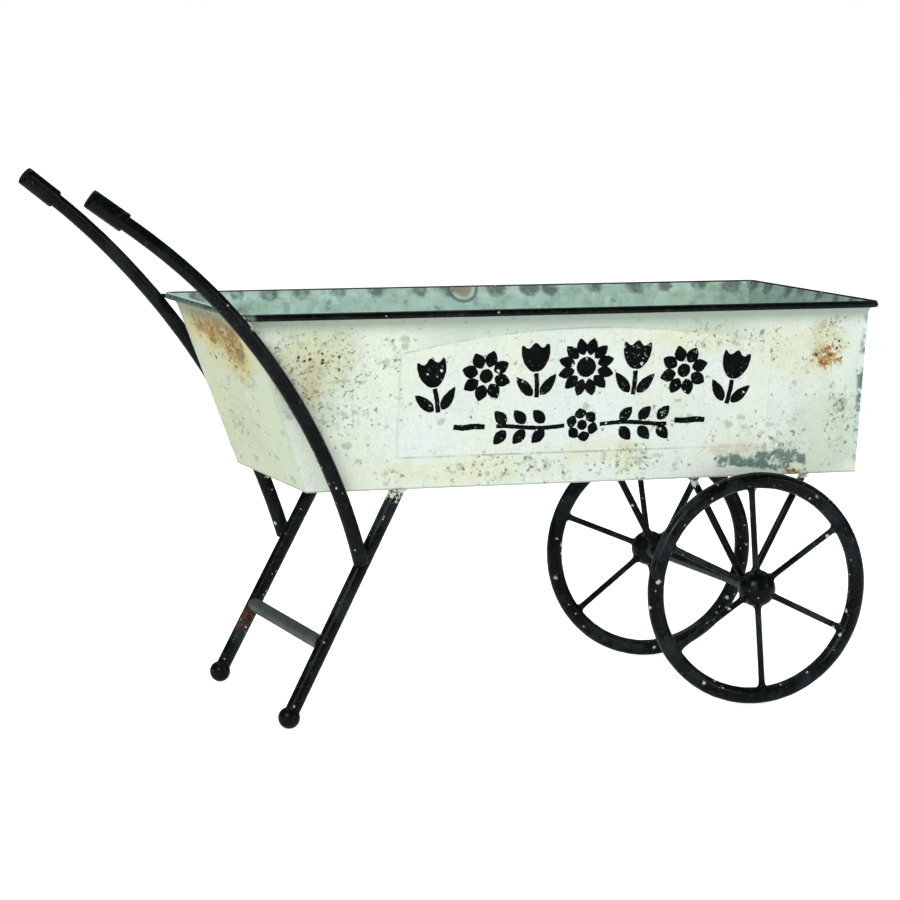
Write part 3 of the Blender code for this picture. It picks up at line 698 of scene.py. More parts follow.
def sweep(path, radii, segments, reference, closed=False, rough=0.0, grain=0.006):
    """Closed skin of a round bar; rough is the depth of its unevenness."""
    verts = []
    rows = []
    for point, tangent, radius in zip(path, tangents(path, closed), radii):
        first, second = axis_pair(tangent, reference)
        rows.append(range(len(verts), len(verts) + segments))
        for c, s in circle(segments):
            out = first * c + second * s
            spot = point + out * radius
            if rough:
                spot += out * rough * (noise.noise(spot / grain) - 0.3)
            verts.append(spot)
    faces = tube_faces(rows, closed)
    if not closed:
        for row, point in ((rows[0], path[0]), (rows[-1], path[-1])):
            verts.append(point.copy())
            faces += tube_faces([row, [len(verts) - 1]])
    return verts, faces


def spaced(start, end, step):
    """Points from start to end, about step apart."""
    count = max(2, int((end - start).length / step) + 1)
    return [start.lerp(end, i / (count - 1)) for i in range(count)]


def chamfered(path, radius, ease, steps=3):
    """Path and radii of a bar whose two ends are rounded over by ease."""
    head = (path[1] - path[0]).normalized()
    tail = (path[-1] - path[-2]).normalized()
    turns = [math.radians(90 * i / steps) for i in range(steps + 1)]
    first = [path[0] + head * ease * (1 - math.cos(turn)) for turn in turns]
    last = [path[-1] - tail * ease * (1 - math.cos(turn)) for turn in reversed(turns)]
    rounds = [radius - ease * (1 - math.sin(turn)) for turn in turns]
    inner = [p for p in path[1:-1]
             if (p - path[0]).dot(head) > ease * 1.2 and (path[-1] - p).dot(tail) > ease * 1.2]
    return first + inner + last, rounds + [radius] * len(inner) + rounds[::-1]


def revolve(profile, segments, place):
    """Skin of (radius, height) points turned about the local Z of the matrix place.

    A profile that ends on its first point is a closed ring section.
    """
    verts = []
    rows = []
    for radius, height in profile:
        if rows and (radius, height) == profile[0]:
            rows.append(rows[0])
            continue
        if radius < 1e-7:
            rows.append([len(verts)])
            verts.append(place @ Vector((0, 0, height)))
            continue
        rows.append(list(range(len(verts), len(verts) + segments)))
        verts += [place @ Vector((radius * c, radius * s, height)) for c, s in circle(segments)]
    return verts, tube_faces(rows)


def placed(origin, direction):
    """Matrix that puts local +Z along direction at origin."""
    turn = Z_AXIS.rotation_difference(Vector(direction).normalized())
    return Matrix.Translation(origin) @ turn.to_matrix().to_4x4()


def bead(path, size, reference, seed):
    """A weld bead: a thick line of overlapping ripples round a closed path."""
    radii = []
    travelled = 0.0
    for i, point in enumerate(path):
        if i:
            travelled += (point - path[i - 1]).length
        ripple = abs(math.sin(math.pi * travelled / (size * 1.3)))
        uneven = noise.noise(Vector((travelled / 0.004, seed, 0)))
        radii.append(size * (0.82 + 0.16 * ripple + 0.22 * uneven))
    return sweep(path, radii, 10, reference, closed=True)


def lump(center, radii, axes, seed, rough=0.18):
    """A blob of weld metal; axes is a rotation matrix for its three radii."""
    rings, segments = 14, 20
    verts = []
    rows = []
    for i in range(rings + 1):
        polar = math.pi * i / rings
        turns = list(circle(segments))[:1 if i in (0, rings) else segments]
        rows.append(range(len(verts), len(verts) + len(turns)))
        for c, s in turns:
            unit = Vector((math.sin(polar) * c, math.sin(polar) * s, math.cos(polar)))
            grow = 1 + rough * noise.noise(unit * 1.8 + Vector((seed, seed, seed)))
            local = Vector([u * radius for u, radius in zip(unit, radii)]) * grow
            verts.append(center + axes @ local)
    return verts, tube_faces(rows)


def reach(start, direction, point, axis, radius):
    """Distance along direction from start to the near side of a cylinder."""
    across = direction - direction.dot(axis) * axis
    offset = (start - point) - (start - point).dot(axis) * axis
    a = across.length_squared
    b = 2 * across.dot(offset)
    c = offset.length_squared - radius * radius
    return (-b - math.sqrt(max(0.0, b * b - 4 * a * c))) / (2 * a)


def bar_loop(start, direction, bar_radius, reference, travel, count=40):
    """Closed line round a bar, each point carried along it by travel(point)."""
    first, second = axis_pair(direction, reference)
    loop = []
    for c, s in circle(count):
        edge = start + (first * c + second * s) * bar_radius
        loop.append(edge + direction * travel(edge))
    return loop


def cope_loop(start, direction, bar_radius, point, axis, radius):
    """The closed line where a round bar meets a cylinder."""
    return bar_loop(start, direction, bar_radius, axis,
                    lambda edge: reach(edge, direction, point, axis, radius))


def plane_loop(start, direction, bar_radius, height):
    """The closed line where a round bar meets a level plane."""
    return bar_loop(start, direction, bar_radius, X_AXIS,
                    lambda edge: (height - edge.z) / direction.z)


# ---------------------------------------------------------------- trough


def flared(floor_value, rim_value, z):
    t = min(1.0, (z - TROUGH_Z) / (RIM_Z - TROUGH_Z))
    return floor_value + (rim_value - floor_value) * t


def wall_half_y(z):
    return flared(FLOOR_HALF_Y, RIM_HALF_Y, z)


def wall_x(end, z):
    return flared(FLOOR_X[end], RIM_X[end], z)


def smooth(t):
    t = max(0.0, min(1.0, t))
    return t * t * (3 - 2 * t)


def pressing_depth(x, z):
    """How far the pressed panel stands back at a point of a side wall."""
    middle = (PRESSING_X[0] + PRESSING_X[1]) / 2
    arch = PRESSING_ARCH_R - math.hypot(x - middle, z - (PRESSING_Z[1] - PRESSING_ARCH_R))
    borders = (x - PRESSING_X[0], PRESSING_X[1] - x, z - PRESSING_Z[0], arch)
    if min(borders) < -0.004:
        return 0.0
    soft = 900.0
    inside = -math.log(sum(math.exp(-soft * max(b, -0.01)) for b in borders)) / soft
    return PRESSING_DEPTH * smooth(inside / PRESSING_RAMP)


def sheet_wave(a, z, seed, half_a, amount=0.00035):
    """Slight unevenness of hand-finished sheet, dying out at the wall's edges."""
    side = smooth((half_a - abs(a)) / 0.03)
    top = smooth((RIM_Z - FLARE_H - z) / 0.02)
    foot = smooth((z - TROUGH_Z) / 0.012)
    return amount * side * top * foot * noise.noise(Vector((a / 0.085, z / 0.050, seed)))


def wall_profile():
    """Rows of a wall: (height, outward offset, corner notch), bottom first."""
    rows = []
    top = RIM_Z - FLARE_H
    steps = 72
    for i in range(steps + 1):
        rows.append((TROUGH_Z + (top - TROUGH_Z) * i / steps, 0.0, 0.0))
    wrap = RIM_ROD_R + GAP
    out = RIM_OFFSET - wrap
    for i in range(1, 11):
        u = i / 10
        rows.append((top + FLARE_H * u * 0.999, out * smooth(u), CORNER_GAP * u))
    for i in range(1, 15):
        angle = math.radians(180 - 120 * i / 14)
        rows.append((RIM_Z + wrap * math.sin(angle), RIM_OFFSET + wrap * math.cos(angle), CORNER_GAP))
    return rows


FLARE_ROW = 73                  # first row of the flare in wall_profile
WRAP_ROW = 82                   # last row of the flare, where the wrap begins
SIDE_COLUMNS = 286
END_COLUMNS = 136
CORNER_COLUMNS = 15
CORNER_OVERLAP = 3              # degrees a drawn corner turns beyond a right angle, at each end
CORNER_MIN_R = 0.0004           # smallest radius the drawn sheet has round a rim corner
PAN_ROWS = 56
PAN_COLUMNS = 121
LAP_ROWS = 40
LAP_MARGIN = 0.0080             # the drawn laps stop this far from the floor and the flare
NO_LENGTH = 1e-15               # keeps a zero normal from being divided by zero
SIDE_WAVE_SEED = 7.3
SIDE_WAVE_HALF = 0.27           # half length over which a side wall is uneven


def closed_sheet(grid, outward_first):
    """Give a grid of points (rows x columns) the sheet's thickness; returns verts, faces.

    The second surface lies behind the first one, on the side the normals point away from.
    """
    grid = np.asarray(grid, float)
    rows, cols, _ = grid.shape
    along = np.gradient(grid, axis=1)
    up = np.gradient(grid, axis=0)
    normal = np.cross(along, up)
    normal /= np.maximum(np.linalg.norm(normal, axis=2, keepdims=True), NO_LENGTH)
    if np.dot(normal[rows // 2, cols // 2], outward_first) < 0:
        normal = -normal
    back = grid - normal * SHEET
    verts = np.concatenate([grid.reshape(-1, 3), back.reshape(-1, 3)])
    half = rows * cols
    faces = []
    for r in range(rows - 1):
        for c in range(cols - 1):
            a = r * cols + c
            faces.append((a, a + 1, a + cols + 1, a + cols))
            faces.append((half + a, half + a + cols, half + a + cols + 1, half + a + 1))
    border = list(range(cols))
    border += [r * cols + cols - 1 for r in range(1, rows)]
    border += [(rows - 1) * cols + c for c in range(cols - 2, -1, -1)]
    border += [r * cols for r in range(rows - 2, 0, -1)]
    for i in range(len(border)):
        a, b = border[i], border[(i + 1) % len(border)]
        faces.append((a, half + a, half + b, b))
    return verts, faces


def sheet_grid(rows, cols, point):
    """Rows of points on a sheet; point(row, t) places the one at t, from 0 to 1 along the row."""
    return [[point(row, i / (cols - 1)) for i in range(cols)] for row in rows]


def welded(verts, faces):
    """Join points that coincide and drop the faces that vanish with them."""
    bm = bmesh.new()
    made = [bm.verts.new(vert) for vert in verts]
    for face in faces:
        bm.faces.new([made[i] for i in face])
    bmesh.ops.remove_doubles(bm, verts=bm.verts[:], dist=1e-6)
    bmesh.ops.dissolve_degenerate(bm, edges=bm.edges[:], dist=1e-7)
    bm.verts.index_update()
    points = [vert.co.copy() for vert in bm.verts]
    shape = [tuple(vert.index for vert in face.verts) for face in bm.faces]
    bm.free()
    return points, shape


def wall_face_slots(rows, cols, wrap=WRAP_ROW):
    """Material per face: 0 painted outside, 1 zinc inside, 2 black over the rolled edge."""
    slots = []
    for r in range(rows - 1):
        for _ in range(cols - 1):
            slots += [2 if r >= wrap - 1 else 0, 2 if r >= wrap + 5 else 1]
    upright = [2 if r >= wrap - 1 else 0 for r in range(rows - 1)]
    return slots + [0] * (cols - 1) + upright + [2] * (cols - 1) + upright[::-1]


def build_side_wall(label, side, mats):
    profile = wall_profile()
    middle = (RIM_X[0] + RIM_X[1]) / 2

    def point(row, t):
        z, offset, notch = row
        x0 = wall_x(0, z) + notch
        x1 = wall_x(1, z) - notch
        x = x0 + (x1 - x0) * t
        y = wall_half_y(z) + offset
        y -= pressing_depth(x, z) + sheet_wave(x - middle, z, side * SIDE_WAVE_SEED, SIDE_WAVE_HALF)
        return (x, side * y, z)

    sheet = closed_sheet(sheet_grid(profile, SIDE_COLUMNS, point), (0, side, 0))
    add_piece(f"side_sheet_{label}", sheet, [mats[f"paint_{label}"], mats["zinc_long"],
              mats["rim_black"]], replaces=(f"trough_side_{label}",),
              face_material=wall_face_slots(len(profile), SIDE_COLUMNS))


def build_end_wall(end, mats):
    inward = 1 if end == 0 else -1
    profile = wall_profile()

    def point(row, t):
        z, offset, notch = row
        half = wall_half_y(z) - SHEET - GAP - notch
        y = -half + 2 * half * t
        x = wall_x(end, z) - inward * offset
        return (x + inward * sheet_wave(y, z, 3.1 + end, 0.118, 0.0005), y, z)

    sheet = closed_sheet(sheet_grid(profile, END_COLUMNS, point), (-inward, 0, 0))
    name = ENDS[end]
    top = mats["zinc_lip"] if end == 0 else mats["rim_black"]
    add_piece(f"end_sheet_{name}", sheet, [mats[f"paint_{name}"], mats[f"zinc_{name}"], top],
              replaces=(f"trough_end_{name}",),
              face_material=wall_face_slots(len(profile), END_COLUMNS))


def build_rim_corner(end, label, side, mats):
    """Rolled edge of the sheet carried round one corner of the rim."""
    profile = wall_profile()[FLARE_ROW:]
    outward = -1 if end == 0 else 1

    def point(row, t):
        z, offset, _ = row
        corner = Vector((wall_x(end, z), side * wall_half_y(z), z))
        angle = math.radians((90 + 2 * CORNER_OVERLAP) * t - CORNER_OVERLAP)
        out = max(offset, CORNER_MIN_R)
        return corner + Vector((outward * out * math.cos(angle), side * out * math.sin(angle), 0))

    sheet = closed_sheet(sheet_grid(profile, CORNER_COLUMNS, point), (outward, side, 0))
    name = ENDS[end]
    add_piece(f"rim_corner_{name}_{label}", sheet,
              [mats[f"paint_{name}"], mats[f"zinc_{name}"], mats["rim_black"]],
              face_material=wall_face_slots(len(profile), CORNER_COLUMNS, WRAP_ROW - FLARE_ROW))


def build_seam_lap(end, label, side, mats):
    """Folded seam lap inside one corner of the trough."""
    inward = 1 if end == 0 else -1
    low = TROUGH_Z + LAP_MARGIN
    high = RIM_Z - FLARE_H - LAP_MARGIN

    def point(row, t):
        z = low + (high - low) * row / LAP_ROWS
        x = wall_x(end, z) + inward * (SHEET + 0.0002 + SEAM_LAP * t)
        y = wall_half_y(z) - SHEET - GAP - 0.0003
        y += 0.00018 * noise.noise(Vector((x * 300, z * 60, side)))
        return (x, side * y, z)

    sheet = closed_sheet(sheet_grid(range(LAP_ROWS + 1), 7, point), (0, side, 0))
    add_piece(f"seam_lap_{ENDS[end]}_{label}", sheet, mats["zinc_lap"])


def build_floor(mats):
    """Trough floor with its turned-up edge."""
    inset = SHEET + GAP
    fold = 1 - PAN_FOLD

    def point(row, t):
        u = t * 2 - 1
        v = row / PAN_ROWS * 2 - 1
        reach_u = min(1.0, abs(u) / PAN_FOLD)
        reach_v = min(1.0, abs(v) / PAN_FOLD)
        rise = max(0.0, (abs(u) - PAN_FOLD) / fold, (abs(v) - PAN_FOLD) / fold)
        z = TROUGH_Z + PAN_LIP * rise
        middle = (wall_x(0, z) + wall_x(1, z)) / 2
        half_x = (wall_x(1, z) - wall_x(0, z)) / 2 - inset
        half_y = wall_half_y(z) - inset
        bow = 0.0004 * noise.noise(Vector((u * 3, v * 2, 5.0))) * (1 - max(reach_u, reach_v) ** 4)
        return (middle + math.copysign(half_x * reach_u, u), math.copysign(half_y * reach_v, v),
                z + max(0.0, bow))

    grid = sheet_grid(range(PAN_ROWS + 1), PAN_COLUMNS, point)
    sheet = welded(*closed_sheet(grid, (0, 0, -1)))
    add_piece("floor_sheet", sheet, mats["zinc_floor"], replaces=("trough_floor",))


def build_rim_rod(mats):
    corners = ((RIM_X[1], RIM_HALF_Y, 0), (RIM_X[0], RIM_HALF_Y, 90),
               (RIM_X[0], -RIM_HALF_Y, 180), (RIM_X[1], -RIM_HALF_Y, 270))
    bends = []
    for x, y, start in corners:
        bend = []
        for i in range(11):
            angle = math.radians(start + 9 * i)
            bend.append(Vector((x + RIM_OFFSET * math.cos(angle), y + RIM_OFFSET * math.sin(angle),
                                RIM_Z)))
        bends.append(bend)
    path = []
    for i, bend in enumerate(bends):
        path += bend
        path += spaced(bend[-1], bends[(i + 1) % 4][0], 0.004)[1:-1]
    skin = sweep(path, [RIM_ROD_R] * len(path), 16, Z_AXIS, closed=True, rough=0.00012)
    add_piece("rim_rod_skin", skin, mats["rim_black"], replaces=("rim_rod",))


# ---------------------------------------------------------------- legs and handles


def trim_under_floor(verts, along):
    """Slide points that reach the trough floor back along a bar, to a gap below it."""
    top = TROUGH_Z - GAP
    for i, vert in enumerate(verts):
        if vert.z > top:
            verts[i] = vert + along * ((top - vert.z) / along.z)


def leg_line(side):
    foot = Vector((FOOT_X, side * FOOT_HALF_Y, FOOT_R))
    top = Vector((LEG_TOP_X, side * LEG_TOP_HALF_Y, TROUGH_Z))
    return foot, (top - foot).normalized()


def leg_point(side, z):
    foot, up = leg_line(side)
    return foot + up * ((z - foot.z) / up.z)


def build_leg(label, side, mats, welds):
    foot, up = leg_line(side)
    top = leg_point(side, LEG_END_Z)
    path = spaced(foot + up * LEG_START, top, 0.0025)
    verts, faces = sweep(path, [TUBE_R] * len(path), 32, Vector((0, side, 0)), rough=0.00010)
    trim_under_floor(verts, up)
    add_piece(f"leg_skin_{label}", (verts, faces), mats[f"leg_{label}"],
              replaces=(f"leg_tube_{label}",))
    profile = [(0.0, -FOOT_R)]
    for i in range(1, 19):
        angle = math.radians(-90 + 132 * i / 18)
        profile.append((FOOT_R * math.cos(angle), FOOT_R * math.sin(angle)))
    profile += [(0.0064, 0.0069), (0.0062, 0.0080), (0.0061, 0.0092), (0.0045, 0.0096), (0.0, 0.0096)]
    verts, faces = revolve(profile, 36, placed(foot, up))
    rough = [v + (v - foot).normalized() * 0.00012 * (noise.noise(v / 0.005) - 0.4) for v in verts]
    add_piece(f"foot_skin_{label}", (rough, faces), mats[f"leg_{label}"],
              replaces=(f"foot_ball_{label}",))
    loop = plane_loop(foot, up, TUBE_R, LEG_END_Z)
    welds.add(*bead(loop, 0.0012, Z_AXIS, seed=side))


def build_crossbar(mats, welds):
    ends = [leg_point(-1, CROSSBAR_Z), leg_point(1, CROSSBAR_Z)]
    direction = (ends[1] - ends[0]).normalized()
    inset = direction * CROSSBAR_INSET
    path = spaced(ends[0] + inset, ends[1] - inset, 0.0030)
    add_bar("crossbar_skin", "leg_crossbar", path, [TUBE_R] * len(path), 32, Z_AXIS,
            mats["crossbar"], rough=0.00016)
    middle = (ends[0] + ends[1]) / 2
    for side in (-1, 1):
        _, up = leg_line(side)
        loop = cope_loop(middle, direction * side, TUBE_R - 0.0002, leg_point(side, CROSSBAR_Z), up,
                         TUBE_R)
        welds.add(*bead(loop, 0.0011, direction, seed=3 + side))


def handle_half_y(z, shape, start_y, tip_z):
    slope = (HANDLE_RIM_HALF_Y - start_y) / (RIM_Z - shape["z"])
    if z < RIM_Z:
        return start_y + slope * (z - shape["z"])
    rise = tip_z - RIM_Z
    t = (z - RIM_Z) / rise
    drop = HANDLE_RIM_HALF_Y - shape["tip_half_y"]
    return (HANDLE_RIM_HALF_Y - drop * t * t * (3 - 2 * t) + slope * rise * t * (1 - t) ** 2
            + HANDLE_TOE_IN * rise * t * t * (1 - t))


def handle_path(label):
    """Centre line of a handle from its foot on the leg to its tip, finely divided."""
    shape = HANDLES[label]
    side = SIDES[label]
    first = math.radians(shape["lean"])
    points = []
    for i in range(BEND_STEPS + 1):
        lean = first + math.radians(shape["bend"]) * i / BEND_STEPS
        points.append((shape["x"] + shape["bend_r"] * (math.cos(lean) - math.cos(first)),
                       shape["z"] + shape["bend_r"] * (math.sin(lean) - math.sin(first))))
    x, z = points[-1]
    for i in range(1, STRAIGHT_STEPS + 1):
        run = shape["straight"] * i / STRAIGHT_STEPS
        points.append((x - math.sin(lean) * run, z + math.cos(lean) * run))
    start_y = abs(leg_point(side, shape["z"]).y) + 2 * TUBE_R + GAP
    tip_z = points[-1][1]
    return [Vector((x, side * handle_half_y(z, shape, start_y, tip_z), z)) for x, z in points]


def build_handle(label, side, mats, welds):
    path = handle_path(label)
    points, radii = chamfered(path, TUBE_R, 0.0022, 6)
    add_bar(f"handle_skin_{label}", f"handle_tube_{label}", points, radii, 32,
            Vector((0, side, 0)), mats["handle"], rough=0.00012)
    tip = path[-1]
    outward = (path[-1] - path[-2]).normalized()
    seat = placed(tip, outward)
    ease = 0.0009
    sleeve = [(GRIP_BORE_R, -GRIP_LENGTH)]
    for i in range(5):
        angle = math.radians(-90 + 22.5 * i)
        sleeve.append((GRIP_R - ease + ease * math.cos(angle),
                       -GRIP_LENGTH + ease + ease * math.sin(angle)))
    for i in range(1, 16):
        wear = 0.00008 * math.sin(i * 2.1) - 0.00004
        sleeve.append((GRIP_R + min(0.0, wear), -GRIP_LENGTH + ease + (GRIP_LENGTH - 2 * ease) * i / 16))
    for i in range(4):
        angle = math.radians(22.5 * i)
        sleeve.append((GRIP_R - 0.0004 + 0.0004 * math.cos(angle), -0.0004 + 0.0004 * math.sin(angle)))
    sleeve += [(GRIP_BORE_R, 0.0), (GRIP_BORE_R, -GRIP_LENGTH)]
    add_piece(f"grip_skin_{label}", revolve(sleeve, 40, seat), mats["grip"],
              replaces=(f"grip_sleeve_{label}",))
    plug = [(0.0, 0.0002), (GRIP_R - 0.0010, 0.0002), (GRIP_R - 0.0003, 0.0005), (GRIP_R, 0.0009),
            (GRIP_R - 0.0002, 0.0013), (GRIP_R - 0.0009, 0.0018), (GRIP_R - 0.0022, 0.00195),
            (0.0, 0.0020)]
    add_piece(f"plug_skin_{label}", revolve(plug, 40, seat), mats["grip"],
              replaces=(f"grip_plug_{label}",))
    weld_handle(side, path, welds)


def weld_handle(side, path, welds):
    """Welds between handle and leg, and between handle and rim corner."""
    for rise, radii in ((0.0030, (0.0056, 0.0046, 0.0046)), (0.0080, (0.0050, 0.0040, 0.0052))):
        start = path[0] + (path[1] - path[0]).normalized() * rise
        seat = leg_point(side, start.z)
        welds.add(*lump((start + seat) / 2, radii, Matrix.Identity(3), seed=side + rise * 900,
                        rough=0.10))
    near = min(path, key=lambda p: abs(p.z - RIM_Z))
    corner = Vector((RIM_X[0], side * RIM_HALF_Y, RIM_Z))
    toward = near - corner
    toward.z = 0
    gap = toward.length - RIM_OFFSET - RIM_ROD_R - TUBE_R
    toward.normalize()
    middle = corner + toward * (RIM_OFFSET + RIM_ROD_R + gap / 2)
    turn = placed((0, 0, 0), toward).to_3x3()
    welds.add(*lump(middle, (0.0020, 0.0020, gap / 2 + 0.0014), turn, seed=side * 4.0, rough=0.12))


# ---------------------------------------------------------------- axle and wheels


def build_axle(mats, welds):
    path = spaced(Vector((AXLE_X, -AXLE_HALF, WHEEL_R)), Vector((AXLE_X, AXLE_HALF, WHEEL_R)), 0.004)
    points, radii = chamfered(path, AXLE_R, 0.0006)
    add_bar("axle_skin", "axle_rod", points, radii, 28, Z_AXIS, mats["axle"],
            rough=0.00008)
    for label, side in SIDES.items():
        axle = Vector((AXLE_X, side * STRUT_HALF_Y, WHEEL_R))
        for name, fore in (("front", 1), ("rear", -1)):
            bottom = axle + Vector((fore * STRUT_SPLIT, 0, 0))
            top = Vector((AXLE_X + fore * STRUT_SPREAD, side * STRUT_HALF_Y, TROUGH_Z - 0.0003))
            down = (bottom - top).normalized()
            path = spaced(top + down * 0.0002, bottom - down * STRUT_STOP, 0.0025)
            verts, faces = sweep(path, [STRUT_R] * len(path), 24, Y_AXIS, rough=0.00010)
            trim_under_floor(verts, down)
            add_piece(f"strut_skin_{name}_{label}", (verts, faces), mats["strut"],
                      replaces=(f"axle_strut_{name}_{label}",))
            loop = plane_loop(top, down, STRUT_R, TROUGH_Z - 0.0005)
            welds.add(*bead(loop, 0.0011, Z_AXIS, seed=fore + side))
            loop = cope_loop(top, down, STRUT_R, axle, Y_AXIS, AXLE_R)
            welds.add(*bead(loop, 0.0011, Y_AXIS, seed=2 * fore + side))
        center = axle + Vector((0, 0, AXLE_R + 0.0018))
        welds.add(*lump(center, (0.0030, 0.0034, 0.0030), Matrix.Identity(3), seed=side * 6.0))


def build_spoke(label, i, center, mats, welds):
    """Spoke i of a wheel, spread towards the hub and the rim, with its weld at each end."""
    side = SIDES[label]
    angle = SPOKE_PHASE[label] + 2 * math.pi * i / SPOKES
    out = Vector((math.cos(angle), 0, math.sin(angle)))
    along = Vector((-math.sin(angle), 0, math.cos(angle)))
    start = center + out * (HUB_R - SPOKE_SINK)
    end = center + out * (WHEEL_R - 2 * WHEEL_TUBE_R + SPOKE_SINK)
    path = spaced(start, end, 0.0012)
    length = (end - start).length
    radii = []
    for point in path:
        run = (point - start).length
        root = math.exp(-run / 0.0016) * 0.0016
        trumpet = math.exp(-(length - run) / 0.0018) * 0.0021
        radii.append(SPOKE_R + root + trumpet)
    add_bar(f"spoke_skin_{label}_{i + 1}", f"spoke_{label}_{i + 1}", path, radii, 22, Y_AXIS,
            mats["wheel"], body=f"wheel_{label}")
    rim_center = center + out * RING_R
    loop = cope_loop(center, out, SPOKE_R + 0.0012, rim_center, along, WHEEL_TUBE_R)
    welds.add(*bead(loop, 0.0009, Y_AXIS, seed=i + side))
    ring_radius = SPOKE_R + 0.0008
    lift = math.sqrt(HUB_R ** 2 - ring_radius ** 2)
    ring = bar_loop(center + out * lift, out, ring_radius, Y_AXIS, lambda edge: 0.0, count=28)
    welds.add(*bead(ring, 0.0009, out, seed=i * 2 + side))


def build_wheel(label, side, mats):
    """Rim, spokes, hub ball and welds of one wheel."""
    body = f"wheel_{label}"
    center = Vector((AXLE_X, side * WHEEL_HALF_Y, WHEEL_R))
    count = 288
    path = [center + Vector((RING_R * s, 0, -RING_R * c)) for c, s in circle(count)]
    skin = sweep(path, [WHEEL_TUBE_R] * count, 28, Y_AXIS, closed=True, rough=0.00016, grain=0.008)
    add_piece(f"rim_skin_{label}", skin, mats["wheel"], body=body, replaces=(f"wheel_rim_{label}",))
    welds = Shells()
    for i in range(SPOKES):
        build_spoke(label, i, center, mats, welds)
    add_piece(f"wheel_welds_{label}", welds.shape, mats["weld"], body=body)
    build_hub(label, side, center, mats)


def build_hub(label, side, center, mats):
    """Hub ball with its flat back, axle hole, pocket for the push nut and hairline seam."""
    back = math.degrees(math.asin(HUB_BACK / HUB_R))
    profile = [(0.0, HUB_POCKET_TOP), (HUB_POCKET_R, HUB_POCKET_TOP), (HUB_POCKET_R, 0.0),
               (HUB_BORE_R, 0.0), (HUB_BORE_R, HUB_EASE - HUB_BACK),
               (HUB_BORE_R + HUB_EASE, -HUB_BACK),
               (math.sqrt(HUB_R ** 2 - HUB_BACK ** 2) - HUB_EASE, -HUB_BACK)]
    for i in range(1, 48):
        angle = math.radians(-back + (90 + back) * i / 48)
        radius = HUB_R
        seam = abs(HUB_R * math.sin(angle) - HUB_SEAM)
        radius -= 0.00018 * max(0.0, 1 - seam / 0.0006)
        profile.append((radius * math.cos(angle), radius * math.sin(angle)))
    profile.append((0.0, HUB_R))
    verts, faces = revolve(profile, 56, placed(center, (0, side, 0)))
    rough = []
    for vert in verts:
        away = vert - center
        if away.length > HUB_R * 0.9:
            vert = vert + away.normalized() * 0.00022 * (noise.noise(vert / 0.006) - 0.45)
        rough.append(vert)
    add_piece(f"hub_skin_{label}", (rough, faces), mats["hub"], body=f"wheel_{label}",
              replaces=(f"hub_shell_{label}", f"hub_cap_{label}"))


# ---------------------------------------------------------------- stencilled motif

PETAL_STEPS = 14
LEAF_LEAN = 42                  # degrees between a sprig's leaves and square to its stem
HEART_STEPS = 22                # points round the heart of a flower
FLOWER_ROW_Z = 0.3010           # height of the row of flowers where its arch is highest
SPRIG_Z = 0.2505
FILM_BACK = 0.00003             # the two faces of the paint film, measured from the sheet
FILM_FRONT = 0.00016


def panel_point(x, z, lift):
    """A point just off the near side's pressed panel."""
    middle = (RIM_X[0] + RIM_X[1]) / 2
    y = wall_half_y(z) - pressing_depth(x, z) - sheet_wave(x - middle, z, -SIDE_WAVE_SEED, SIDE_WAVE_HALF)
    return Vector((x, -(y + lift), z))


def petal(length, width, point=0.25):
    """Outline of a leaf or petal lying along +U from the origin."""
    upper = []
    for i in range(PETAL_STEPS + 1):
        t = i / PETAL_STEPS
        wide = width / 2 * math.sin(math.pi * t ** (1 - point)) ** 0.8
        upper.append((length * t, wide))
    lower = [(u, -v) for u, v in reversed(upper[1:-1])]
    return upper + lower


def turned_shape(shape, angle, shift=(0.0, 0.0), scale=1.0):
    c, s = math.cos(angle) * scale, math.sin(angle) * scale
    return [(shift[0] + u * c - v * s, shift[1] + u * s + v * c) for u, v in shape]


def stroke(points, widths):
    """Outline of a brush stroke along points."""
    left, right = [], []
    for i, (u, v) in enumerate(points):
        a = points[max(0, i - 1)]
        b = points[min(len(points) - 1, i + 1)]
        run = math.hypot(b[0] - a[0], b[1] - a[1])
        nu, nv = -(b[1] - a[1]) / run, (b[0] - a[0]) / run
        left.append((u + nu * widths[i] / 2, v + nv * widths[i] / 2))
        right.append((u - nu * widths[i] / 2, v - nv * widths[i] / 2))
    return left + right[::-1]


def daisy(size, petals=8, heart=0.135, wide=0.25):
    shapes = [[(size * heart * c, size * heart * s) for c, s in circle(HEART_STEPS)]]
    start = size * (heart + 0.035)
    for i in range(petals):
        angle = 2 * math.pi * (i + 0.5) / petals
        shapes.append(turned_shape(petal(size * 0.5 - start, size * wide, point=0.1), angle,
                                   (math.cos(angle) * start, math.sin(angle) * start)))
    return shapes


def tulip(height):
    """Tulip with a stem and two leaves, centred on its middle, in metres."""
    cup = [(-0.21, 0.12), (-0.26, 0.28), (-0.25, 0.50), (-0.12, 0.36), (0.0, 0.53), (0.12, 0.36),
           (0.25, 0.50), (0.26, 0.28), (0.21, 0.12), (0.10, -0.02), (0.0, -0.04), (-0.10, -0.02)]
    stem = [(0.012 * math.sin(t * 3), -0.06 - 0.44 * t) for t in np.linspace(0, 1, 9)]
    shapes = [[(u * 1.05, v) for u, v in rounded(cup)], stroke(stem, [0.085] * 9)]
    for way in (-1, 1):
        shapes.append(turned_shape(petal(0.47, 0.20), math.radians(90 - way * 40),
                                   (way * 0.075, -0.46)))
    return [turned_shape(shape, 0.0, scale=height) for shape in shapes]


def rounded(points):
    """Two passes of Chaikin corner cutting on a closed outline."""
    for _ in range(2):
        out = []
        for i in range(len(points)):
            (ua, va), (ub, vb) = points[i], points[(i + 1) % len(points)]
            out.append((ua * 0.75 + ub * 0.25, va * 0.75 + vb * 0.25))
            out.append((ua * 0.25 + ub * 0.75, va * 0.25 + vb * 0.75))
        points = out
    return points


